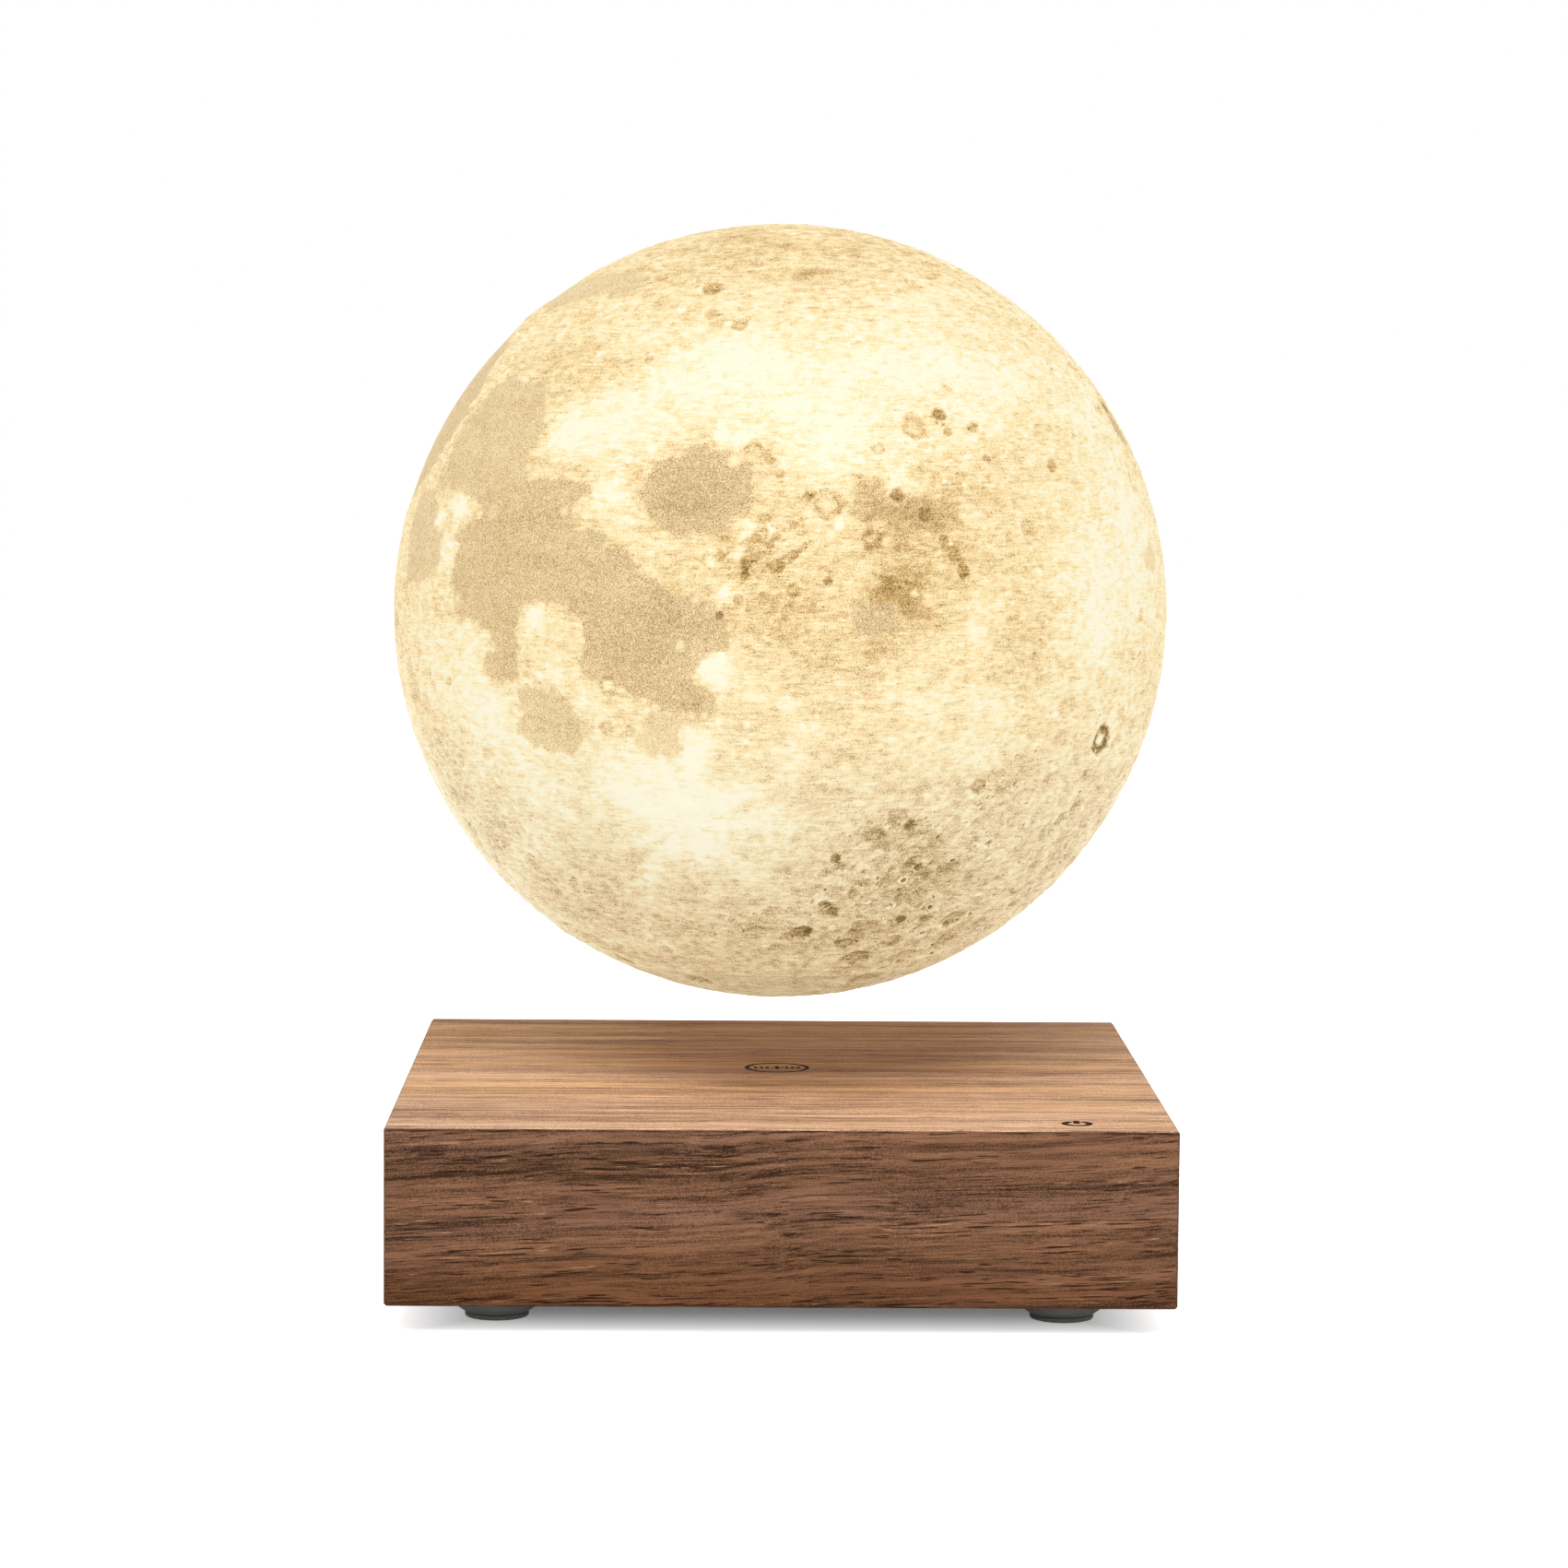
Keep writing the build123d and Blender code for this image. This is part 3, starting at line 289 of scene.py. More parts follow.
class GlobeSettings(bpy.types.PropertyGroup):
    """Sizes and colours of the printed globe"""
    sea_depth: length_setting("Sea depth", "How far the dark seas lie below the bright ground", 0.35 * MM)
    crater_depth_share: number_setting(
        "Crater depth", "Depth of a crater as a share of its radius", 0.16, max=1, subtype="FACTOR")
    crater_spacing: length_setting("Crater spacing", "Least distance between two scattered craters", 2.3 * MM)
    crater_seed: bpy.props.IntProperty(name="Crater seed", description="Which scatter of craters is used", default=11)
    roughness_height: length_setting("Roughness", "Height of the print's fine bumps", 0.26 * MM)
    highlight: colour_setting("Highlight", "Colour of the brightest ground", 252, 247, 222)
    light: colour_setting("Light", "Colour of light ground", 252, 239, 193)
    ground: colour_setting("Ground", "Colour of common ground", 248, 222, 172)
    sea: colour_setting("Sea", "Colour of the dark seas", 223, 194, 147)
    deep: colour_setting("Deep", "Colour of dark crater floors", 178, 146, 90)
    spot: colour_setting("Spot", "Colour of the darkest specks", 112, 90, 46)
    glow: number_setting(
        "Glow", "Share of the print's colour that it gives out by itself", 0.68, max=2, subtype="FACTOR")


class WalnutSettings(bpy.types.PropertyGroup):
    """Colours and grain of the walnut base"""
    top_light: colour_setting("Top, light", "Light stripes of the top panel", 248, 204, 168)
    top_dark: colour_setting("Top, dark", "Dark stripes of the top panel", 138, 97, 72)
    # The walls' colours are darker than the top's partly as the wood's own colour and partly as painted shade on sides
    # that take less light than the top
    wall_light: colour_setting("Walls, light", "Light grain of the walls", 148, 107, 83)
    wall_dark: colour_setting("Walls, dark", "Dark grain of the walls", 56, 35, 22)
    pore: colour_setting("Pores", "Colour of the open pores", 44, 24, 12)
    # Tint of the painted shadow of the globe and the painted shade toward the back on the top, and of the walls'
    # darker bottom
    heartwood: colour_setting("Heartwood", "Tint of the painted shade on the top and of the walls' darker bottom", 203, 184, 152)
    stripe_spacing: length_setting("Stripe spacing", "Distance between two broad stripes", 11 * MM)
    # Painted highlights: short pale dashes where the grain would glint
    pale_dash: colour_setting("Painted glints", "Colour of the short painted glints along the grain", 206, 166, 132)
    pore_length: length_setting("Pore length", "Length of a common pore along the grain", 9 * MM)
    burn: colour_setting("Burnt line", "Colour of the burnt marks", 40, 20, 9)
    line_width: length_setting("Line width", "Width of the burnt ring's line", 1.0 * MM)
    line_depth: length_setting("Line depth", "Depth of the burnt lines", 0.2 * MM)
    ring_radius: length_setting("Ring radius", "Radius of the burnt ring under the globe", 6.8 * MM)
    power_radius: length_setting("Power mark radius", "Radius of the power mark's arc", 2.6 * MM)
    power_width: length_setting("Power mark width", "Width of the power mark's line", 1.4 * MM)


class FittingSettings(bpy.types.PropertyGroup):
    """Colours of the fittings in and under the base and in the globe"""
    rubber: colour_setting("Rubber", "Colour of the feet", 130, 130, 126)
    plastic: colour_setting("Black plastic", "Colour of the base plate and the coil tray", 44, 43, 42)
    housing: colour_setting("Housing plastic", "Colour of the magnet housing", 222, 214, 196)
    steel: colour_setting("Steel", "Colour of screws and plates", 176, 176, 174)
    nickel: colour_setting("Nickel", "Colour of the plated magnets", 196, 192, 182)
    brass: colour_setting("Brass", "Colour of the pins", 206, 168, 96)
    copper: colour_setting("Copper", "Colour of the enamelled wire", 190, 104, 58)
    board: colour_setting("Board", "Colour of the circuit boards", 30, 84, 52)
    glue_wood: colour_setting("Glue block", "Colour of the corner blocks", 196, 158, 112)
    lead: colour_setting("Lead", "Colour of the insulated leads", 160, 40, 34)
    phosphor: colour_setting("Phosphor", "Colour of the lit diodes", 255, 226, 150)


class StudioSettings(bpy.types.PropertyGroup):
    """Light and floor of the studio"""
    floor_size: length_setting("Floor size", "Width of the pale floor", 6.0)
    world_light: number_setting("Room light", "Strength of the even light from all round", 0.55)
    key_power: number_setting("Key light", "Power of the large light above", 26, subtype="POWER", unit="POWER")
    front_power: number_setting("Front light", "Power of the soft light in front", 5, subtype="POWER", unit="POWER")


# Node trees

class Wire:
    """A node's output. Sums written with it become math nodes in its tree."""

    def __init__(self, socket):
        self.socket, self.tree = socket, socket.id_data

    def __add__(self, other):
        return worked("ADD", self, other)

    def __sub__(self, other):
        return worked("SUBTRACT", self, other)

    def __rsub__(self, other):
        return worked("SUBTRACT", other, self)

    def __mul__(self, other):
        return worked("MULTIPLY", self, other)

    def __truediv__(self, other):
        return worked("DIVIDE", self, other)

    def __rtruediv__(self, other):
        return worked("DIVIDE", other, self)

    __radd__, __rmul__ = __add__, __mul__


def put(tree, kind, values=None, **settings):
    """Adds a node. Values are wires to link from, or what an input is set to."""
    node = tree.nodes.new(kind)
    for name, setting in settings.items():
        setattr(node, name, setting)
    for name, value in (values or {}).items():
        if isinstance(value, Wire):
            tree.links.new(value.socket, node.inputs[name])
        else:
            node.inputs[name].default_value = value
    return node


def wired(kind, values, output=0, **settings):
    """An output of a new node in the tree that its wires belong to."""
    tree = next(value.tree for value in values.values() if isinstance(value, Wire))
    return Wire(put(tree, kind, values, **settings).outputs[output])


def sums(operation, first, second=0.0, clamp=False):
    return wired("ShaderNodeMath", {0: first, 1: second}, operation=operation, use_clamp=clamp)


def vectors(operation, first, second=(0, 0, 0)):
    output = "Value" if operation in ("LENGTH", "DISTANCE") else "Vector"
    return wired("ShaderNodeVectorMath", {0: first, 1: second}, output, operation=operation)


def worked(operation, *values):
    """Math on numbers, or on vectors where a wire carries one; a plain number then counts for every axis."""
    if any(value.socket.type in ("VECTOR", "RGBA") for value in values if isinstance(value, Wire)):
        return vectors(operation, *[(value,) * 3 if isinstance(value, (int, float)) else value for value in values])
    return sums(operation, *values)


def clamped(value):
    return sums("ADD", value, clamp=True)


def split(vector):
    return [Wire(part) for part in put(vector.tree, "ShaderNodeSeparateXYZ", {0: vector}).outputs]


def joined(*parts):
    return wired("ShaderNodeCombineXYZ", dict(enumerate(parts)))


def cloud(place, spacing, detail=2.0, roughness=0.5, output=0):
    """Cloudy noise about one half, with patches so many metres apart."""
    values = {"Vector": place, "Scale": 1 / spacing, "Detail": detail, "Roughness": roughness}
    return wired("ShaderNodeTexNoise", values, output)


def shaken(place, spacing, reach, detail=2.0):
    """The place, moved about by cloudy noise so that round edges turn ragged."""
    return (cloud(place, spacing, detail, output=1) - 0.5) * reach + place


def remapped(value, low, high, to_low=0.0, to_high=1.0, kind="SMOOTHSTEP"):
    values = {"Value": value, "From Min": low, "From Max": high, "To Min": to_low, "To Max": to_high}
    return wired("ShaderNodeMapRange", values, interpolation_type=kind)


def band(value, start, full, fade, end):
    """One between full and fade, and nothing before start and after end."""
    return remapped(value, start, full) * remapped(value, fade, end, 1, 0)


def blended(share, first, second, how="MIX"):
    return wired("ShaderNodeMix", {0: share, 6: first, 7: second}, 2, data_type="RGBA", blend_type=how)


def bump(height, distance, strength):
    return wired("ShaderNodeBump", {"Height": height, "Distance": distance, "Strength": strength})


def new_group(name, inputs, outputs, kind="ShaderNodeTree"):
    """A node group, and the wires of its inputs. An input has its type, or the number that it starts from."""
    group = bpy.data.node_groups.new(name, kind)
    for label, start in inputs.items():
        socket_type = start if isinstance(start, str) else type(start).__name__.capitalize()
        socket = group.interface.new_socket(label, in_out="INPUT", socket_type="NodeSocket" + socket_type)
        if not isinstance(start, str):
            socket.default_value = start
    for label, socket_type in outputs.items():
        group.interface.new_socket(label, in_out="OUTPUT", socket_type="NodeSocket" + socket_type)
    return group, {socket.name: Wire(socket) for socket in put(group, "NodeGroupInput").outputs}


def use_group(tree, name, make, values):
    """The wires of a node group's outputs; the group is made where it isn't there yet."""
    node = put(tree, "ShaderNodeGroup", values, node_tree=bpy.data.node_groups.get(name) or make(name))
    return {socket.name: Wire(socket) for socket in node.outputs}


def new_material(name, **constants):
    """A material with its tree and shader; constants set the shader's own inputs, with _ for a space."""
    material = bpy.data.materials.new(name)
    material.use_nodes = True
    shader = material.node_tree.nodes["Principled BSDF"]
    for label, value in constants.items():
        shader.inputs[label.replace("_", " ")].default_value = value
    return material, material.node_tree, shader


def link(node, **wires):
    for label, wire in wires.items():
        wire.tree.links.new(wire.socket, node.inputs[label.replace("_", " ")])


def object_place(tree, centre=(0, 0, 0)):
    """Object coordinates, measured from a centre."""
    return Wire(put(tree, "ShaderNodeTexCoord").outputs["Object"]) - centre


def attribute(tree, name, output="Fac"):
    return Wire(put(tree, "ShaderNodeAttribute", attribute_name=name).outputs[output])


# Moon print

def scattered(place, spacing, least, span):
    """Round spots in scattered cells: how far out in its spot each place lies, in radii, and the spot's chances."""
    cell = put(place.tree, "ShaderNodeTexVoronoi", {"Vector": place, "Scale": 1 / spacing})
    chances = split(Wire(cell.outputs["Color"]))
    return Wire(cell.outputs["Distance"]) / (chances[0] * span + least), chances


def speck_craters(place, spacing, wild):
    """Small scattered craters of every size up to a third of their spacing: their tone and their depth."""
    share, chances = scattered(shaken(place, spacing / 2, spacing * 0.35), spacing, 0.1, 0.26)
    present = remapped(chances[1], 0.2, 0.9) * wild * remapped(chances[2], 0.80, 0.82, 1, -1)
    return (remapped(share, 0.45, 1, 1, 0) - band(share, 0.8, 1.1, 1.15, 1.7) * 0.5) * present


def bright_specks(place):
    """Scattered round specks, each the splash of a small young crater."""
    share, chances = scattered(shaken(place, 2 * MM, 0.8 * MM), 5.5 * MM, 0.1, 0.17)
    return remapped(share, 0.25, 1, 1, 0) * remapped(chances[1], 0.5, 0.9)


def ground_group(name):
    """The colours and the fine relief of the printed moon, from the masks that its mesh carries."""
    group, given = new_group(
        name,
        {"Place": "Vector", "Sea reach": -10.0, "Sea darkness": 0.0, "Lightness": 0.0, "Pit": 0.0, "Rays": 0.0,
         "Wildness": 0.0, "Crater place": "Vector", "Crater dark": 0.0, "Crater middle": 0.0,
         **dict.fromkeys(moon_tones, "Color")},
        {"Color": "Color", "Height": "Float"})
    place, lightness = given["Place"], given["Lightness"]
    flat = place * (1, 1, 1.9)
    mottle = cloud(flat, 2.4 * MM, 4, 0.62) - 0.5
    patch = cloud(flat, 11 * MM, 4, 0.6) - 0.5
    streak = cloud(place * (1, 1, 12), 5 * MM, 2, 0.6) - 0.5
    layers = cloud(place * (1, 1, 9), 2.2 * MM, 1) - 0.5
    grain = cloud(place * (1, 1, 1.2), 0.27 * MM, 0) - 0.5
    reach = (cloud(place, 5 * MM, 6, 0.65) - 0.5) * 6.5 + given["Sea reach"]
    cloudy = remapped(given["Sea darkness"], 1.0, 1.2)
    in_sea = remapped(reach / (cloudy * 3 + 1), -0.5, 0.5)
    land = 0.725 + patch * 0.5 + mottle * 0.8 + streak * 0.45 + layers * 0.4 + given["Rays"] * 0.22 + lightness
    sea = 0.7 - given["Sea darkness"] * 0.2 + mottle * (cloudy * 0.55 + 0.3) + patch * 0.25 + lightness * 0.55
    level = land + (sea - land) * in_sea

    # Small craters, lit from the upper left
    rough = 1 - in_sea * 0.8
    wild = rough * given["Wildness"]
    lit_side = place + (-0.25 * MM, 0, 0.25 * MM)
    specks, shaded = [speck_craters(at, 5.2 * MM, wild) + speck_craters(at, 2.6 * MM, wild)
                      for at in (place, lit_side)]
    level += (shaded - specks) * 0.22 - specks * 0.14 - given["Pit"] * 0.1
    level += bright_specks(place) * (0.36 - in_sea * 0.26)

    # The crater that stands out nearest to the place
    ragged = (cloud(place, 1.3 * MM, 3, output=1) - 0.5) * (0.8, 0.8, 0)
    share = vectors("LENGTH", given["Crater place"] + ragged)
    middle = remapped(share, 0.15, 0.7, 1, 0) * given["Crater middle"]
    hole = remapped(share, 0.6, 1.05, 1, 0) - middle - band(share, 0.85, 1.15, 1.2, 1.6) * 0.18
    hole *= given["Crater dark"]
    level -= hole * 0.45
    level += grain * remapped(level, 0.55, 0.8, 1, 0.42)

    colour = given["Spot"]
    for low, high, label in zip(tone_levels, tone_levels[1:], moon_tones[-2::-1]):
        colour = blended(remapped(level, low, high, kind="LINEAR"), colour, given[label])
    north = split(place)[2]
    warm = remapped(level, 0.35, 0.95, 1, 0) * remapped(north, -30 * MM, 10 * MM) * (1 - in_sea * (1 - cloudy))
    colour = blended(warm, colour, (1.0, 0.94, 0.76, 1), "MULTIPLY")
    cool = remapped(north, -45 * MM, -15 * MM, 1, 0) * remapped(level, 0.7, 1, 1, 0)
    colour = blended(cool, colour, (0.95, 0.98, 1.06, 1), "MULTIPLY")
    height = mottle * rough + layers * 0.25 - specks * 0.9 - hole * 0.8
    put(group, "NodeGroupOutput", {"Color": colour, "Height": height})
    return group


def moon_material(name, globe, glow):
    material, tree, shader = new_material(name, Roughness=0.62, Specular_IOR_Level=0.25, Emission_Strength=glow)
    values = {label: attribute(tree, label.lower().replace(" ", "_")) for label in (
        "Sea reach", "Sea darkness", "Lightness", "Pit", "Rays", "Wildness", "Crater dark", "Crater middle")}
    values["Crater place"] = attribute(tree, "crater_place", "Vector")
    values["Place"] = object_place(tree, globe_centre)
    for label in moon_tones:
        values[label] = getattr(globe, label.lower())
    ground = use_group(tree, "moon_ground", ground_group, values)
    body = blended(1.0, ground["Color"], unlit_print, "MULTIPLY")
    link(shader, Base_Color=body, Emission_Color=ground["Color"], Normal=bump(ground["Height"], 0.25 * MM, 0.6))
    return material


# Moon map

def moon_turn():
    """The turn from the moon's map to the globe as it hangs."""
    tip = Matrix.Rotation(math.radians(globe_tip), 3, "X")
    return np.array(tip @ Matrix.Rotation(math.radians(globe_lean), 3, "Y"))


def map_axes(latitude, longitude):
    """The directions outward, east and north at a place on the moon's map."""
    up, across = math.radians(latitude), math.radians(longitude - facing_longitude - 90)
    out = np.array((math.cos(up) * math.cos(across), math.cos(up) * math.sin(across), math.sin(up)))
    east = np.array((-math.sin(across), math.cos(across), 0.0))
    return out, east, np.cross(out, east)


def angle_from(points, latitude, longitude):
    return np.degrees(np.arccos(np.clip(points @ map_axes(latitude, longitude)[0], -1, 1)))


def flat_places(points, latitude, longitude):
    """The map's points as degrees east and north of a place, true to distance from it."""
    _, east, north = map_axes(latitude, longitude)
    angle = angle_from(points, latitude, longitude)
    bearing = np.arctan2(points @ north, points @ east)
    return angle * np.cos(bearing), angle * np.sin(bearing)


def oval_reach(points, latitude, longitude, half_width, half_height, turn):
    """How far inside an oval the map's points lie, in degrees, and below zero outside it."""
    across, up = flat_places(points, latitude, longitude)
    cosine, sine = math.cos(math.radians(turn)), math.sin(math.radians(turn))
    share = np.hypot((across * cosine + up * sine) / half_width, (up * cosine - across * sine) / half_height)
    return (1 - share) * min(half_width, half_height)


def shore_reach(points, shore):
    """How far inside a shore line the map's points lie, in degrees, and below zero outside it."""
    middle = np.mean(shore, axis=0)
    across, up = flat_places(points, *middle)
    corners = np.stack(flat_places(np.array([map_axes(*corner)[0] for corner in shore]), *middle), -1)
    nearest, inside = np.full(len(points), 1e9), np.zeros(len(points), bool)
    for (x0, y0), (x1, y1) in zip(np.roll(corners, 1, axis=0), corners):
        length = (x1 - x0) ** 2 + (y1 - y0) ** 2
        share = np.clip(((across - x0) * (x1 - x0) + (up - y0) * (y1 - y0)) / length, 0, 1)
        nearest = np.minimum(nearest, np.hypot(across - x0 - share * (x1 - x0), up - y0 - share * (y1 - y0)))
        if y0 != y1:
            crossing = (up > min(y0, y1)) & (up <= max(y0, y1))
            inside ^= crossing & (across < x0 + (up - y0) / (y1 - y0) * (x1 - x0))
    return np.where(inside, nearest, -nearest)


def ray_pattern(points, latitude, longitude, length):
    """Thin bright rays that run out from a young crater."""
    across, up = flat_places(points, latitude, longitude)
    bearing = np.arctan2(up, across)
    comb = np.sin(bearing * 5 + latitude) + np.sin(bearing * 9 + longitude) + np.sin(bearing * 14 + length)
    return np.exp(-(np.hypot(across, up) / length) ** 2) * np.clip(0.35 + comb * 0.4, 0, 1)


def spread_over(points, table):
    """The sum of soft round patches, each with its latitude, longitude, spread and strength."""
    return sum(strength * np.exp(-((angle_from(points, latitude, longitude) / spread) ** 2))
               for latitude, longitude, spread, strength in table)


def nearest_craters(points):
    """For the standing-out crater nearest to each point: the place on it in radii, and its darkness and middle."""
    best, second = np.full(len(points), 1e9), np.full(len(points), 1e9)
    place, dark, middle = np.zeros((len(points), 3)), np.zeros(len(points)), np.zeros(len(points))
    for latitude, longitude, radius, floor_dark, floor_middle in craters:
        across, up = flat_places(points, latitude, longitude)
        share = np.hypot(across, up) / radius
        nearer = share < best
        second = np.where(nearer, best, np.minimum(second, share))
        best = np.where(nearer, share, best)
        place[nearer, 0], place[nearer, 1] = across[nearer] / radius, up[nearer] / radius
        dark = np.where(nearer, floor_dark * (share < 1.5 + 1.2 / radius), dark)
        middle = np.where(nearer, floor_middle, middle)
    between = (best > 1.1) & (second < best * 2)
    return place, np.where(between, 0, dark), middle


def moon_masks(points):
    """The masks of the moon's print at points on its map: seas, light ground, craters and rays."""
    reach, darkness = np.full(len(points), -30.0), np.zeros(len(points))
    reaches = [(shore_reach(points, shore), dark) for dark, shore in seas]
    reaches += [(oval_reach(points, *oval[:5]), oval[5]) for oval in oval_seas]
    for own, dark in reaches:
        darkness = np.where(own > reach, dark, darkness)
        reach = np.maximum(reach, own)
    rays = np.max([ray_pattern(points, *row) for row in ray_craters], axis=0)
    place, dark, middle = nearest_craters(points)
    return {"sea_reach": reach, "sea_darkness": darkness, "lightness": spread_over(points, grounds), "rays": rays,
            "wildness": least_wildness + spread_over(points, rough_grounds), "crater_place": place,
            "crater_dark": dark, "crater_middle": middle}


def globe_relief(points, masks, globe):
    """How far the print lies below the round globe: the seas and the craters that stand out."""
    sunk = np.clip(masks["sea_reach"] / 3 + 0.5, 0, 1) * globe.sea_depth
    for latitude, longitude, radius, *_ in craters:
        share = angle_from(points, latitude, longitude) / radius
        floor, rim = np.clip((1.05 - share) / 0.4, 0, 1), np.exp(-(((share - 1.15) / 0.22) ** 2))
        depth = math.radians(radius) * globe_radius * globe.crater_depth_share
        sunk += (floor - 0.4 * rim) * min(depth, deepest_crater)
    return sunk


# Meshes

def cube_sphere(cells_on_side):
    """Directions of a sphere's points and its faces, as a cube's six grids blown up round."""
    lines = np.tan(np.linspace(-math.pi / 4, math.pi / 4, cells_on_side + 1))
    first, second = np.meshgrid(lines, lines, indexing="ij")
    ones = np.ones_like(first)
    sides = [(ones, first, second), (-ones, second, first), (second, ones, first), (first, -ones, second),
             (first, second, ones), (second, first, -ones)]
    points = np.concatenate([np.stack(side, -1).reshape(-1, 3) for side in sides])
    points /= np.linalg.norm(points, axis=1, keepdims=True)
    count = cells_on_side + 1
    corner = (np.arange(cells_on_side)[:, None] * count + np.arange(cells_on_side)).ravel()
    square = np.stack([corner, corner + count, corner + count + 1, corner + 1], -1)
    return points, np.concatenate([square + side * count * count for side in range(6)])


def mesh_from(name, points, faces):
    mesh = bpy.data.meshes.new(name)
    mesh.from_pydata([tuple(point) for point in points], [], [tuple(face) for face in faces])
    mesh.update()
    return mesh


def set_mask(mesh, name, values):
    """Stores one number or one vector for each point of a mesh."""
    kind, field = ("FLOAT", "value") if values.ndim == 1 else ("FLOAT_VECTOR", "vector")
    mask = mesh.attributes.new(name, kind, "POINT")
    mask.data.foreach_set(field, np.asarray(values, np.float32).ravel())


def work_from(mesh):
    work = bmesh.new()
    work.from_mesh(mesh)
    return work


def finished(work, mesh):
    """Turns the faces outward and writes the work into a mesh."""
    bmesh.ops.recalc_face_normals(work, faces=work.faces)
    work.to_mesh(mesh)
    work.free()
    return mesh


def merged(mesh, distance):
    work = work_from(mesh)
    bmesh.ops.remove_doubles(work, verts=work.verts, dist=distance)
    return finished(work, mesh)


def swept(section, start, sweep, steps, middle=(0, 0)):
    """Points and faces of a section of radii and levels, turned about an upright axis from a start, in degrees."""
    closed = sweep == 360
    turns = [math.radians(start + sweep * step / steps) for step in range(steps if closed else steps + 1)]
    points = [(middle[0] + radius * math.cos(turn), middle[1] + radius * math.sin(turn), level)
              for turn in turns for radius, level in section]
    count, faces = len(section), []
    for step in range(steps):
        here, after = step * count, (step + 1) % len(turns) * count
        for side in range(count):
            beside = (side + 1) % count
            if section[side][0] or section[beside][0]:
                faces.append((here + side, here + beside, after + beside, after + side))
    if not closed:
        faces += [tuple(reversed(range(count))), tuple(range(steps * count, steps * count + count))]
    return points, faces


def in_scene(name, data):
    thing = bpy.data.objects.new(name, data)
    bpy.context.scene.collection.objects.link(thing)
    return thing


def give_materials(mesh, *materials):
    mesh.materials.clear()
    for material in materials:
        mesh.materials.append(material)


def new_piece(name, mesh, body, stands_for):
    """Links a finished mesh as a piece that rides on a body and stands for a node."""
    piece = in_scene(name, mesh)
    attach(piece, body)
    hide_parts(stands_for)


def smooth_up_to(mesh, degrees):
    mesh.shade_smooth()
    mesh.set_sharp_from_angle(angle=math.radians(degrees))


def evaluated_mesh(scratch):
    """The plain mesh that an object's modifiers make; the object is then removed."""
    bpy.context.view_layer.update()
    graph = bpy.context.evaluated_depsgraph_get()
    mesh = bpy.data.meshes.new_from_object(
        scratch.evaluated_get(graph), preserve_all_data_layers=True, depsgraph=graph)
    bpy.data.objects.remove(scratch)
    return mesh


def through_nodes(name, mesh, group, values):
    """Runs a mesh through a geometry node group, with the group's inputs set by their names."""
    scratch = in_scene(name, mesh)
    modifier = scratch.modifiers.new(name, "NODES")
    modifier.node_group = group
    for item in group.interface.items_tree:
        if item.in_out == "INPUT" and item.name in values:
            modifier[item.identifier] = values[item.name]
    return evaluated_mesh(scratch)


# Globe

def crater_scatter_group():
    """Geometry nodes: scatters craters over the globe, sinks them and the print's relief, and sets the material."""
    group, given = new_group(
        "crater_scatter",
        {"Geometry": "Geometry", "Centre": "Vector", "Spacing": 2.3 * MM, "Depth share": 0.16,
         "Roughness": 0.1 * MM, "Margin": 0.3 * MM, "Seed": 0, "Material": "Material"},
        {"Geometry": "Geometry"}, "GeometryNodeTree")
    position = Wire(put(group, "GeometryNodeInputPosition").outputs[0])
    sunk, roughness = [
        Wire(put(group, "GeometryNodeInputNamedAttribute", {"Name": name}, data_type="FLOAT").outputs[0])
        for name in ("sunk", "roughness")]
    pit = depth = 0.0
    for layer, (spacing_share, least, most) in enumerate(crater_scatters):
        seed = given["Seed"] + layer
        scatter = wired("GeometryNodeDistributePointsOnFaces",
                        {"Mesh": given["Geometry"], "Distance Min": given["Spacing"] * spacing_share,
                         "Density Max": 4e5, "Seed": seed}, "Points", distribute_method="POISSON")
        nearest = wired("GeometryNodeSampleNearest", {"Geometry": scatter, "Sample Position": position})
        radius = wired("FunctionNodeRandomValue", {2: least, 3: most, "Seed": seed}, 1, data_type="FLOAT")
        near_radius, near_place = [
            wired("GeometryNodeSampleIndex", {"Geometry": scatter, "Value": value, "Index": nearest}, data_type=kind)
            for value, kind in ((radius, "FLOAT"), (position, "FLOAT_VECTOR"))]
        share = vectors("DISTANCE", position, near_place) / near_radius
        shape = (remapped(share, 0.5, 1, 1, 0) - band(share, 0.7, 1.05, 1.05, 1.7) * 0.45) * roughness
        pit += shape
        depth += shape * near_radius * given["Depth share"]
    rough = cloud(position, 2.6 * MM, 3) * given["Roughness"] * roughness
    total = sums("MAXIMUM", depth + rough + sunk + given["Margin"], 0.05 * MM)
    inward = vectors("NORMALIZE", given["Centre"] - position) * total
    geometry = given["Geometry"]
    for kind, values in (("StoreNamedAttribute", {"Name": "pit", "Value": pit}), ("SetPosition", {"Offset": inward}),
                         ("RealizeInstances", {}), ("SetMaterial", {"Material": given["Material"]})):
        geometry = wired("GeometryNode" + kind, {"Geometry": geometry, **values})
    put(group, "NodeGroupOutput", {"Geometry": geometry})
    return group


def seam_depth(radius, out_to):
    return math.sqrt(radius ** 2 - out_to ** 2)


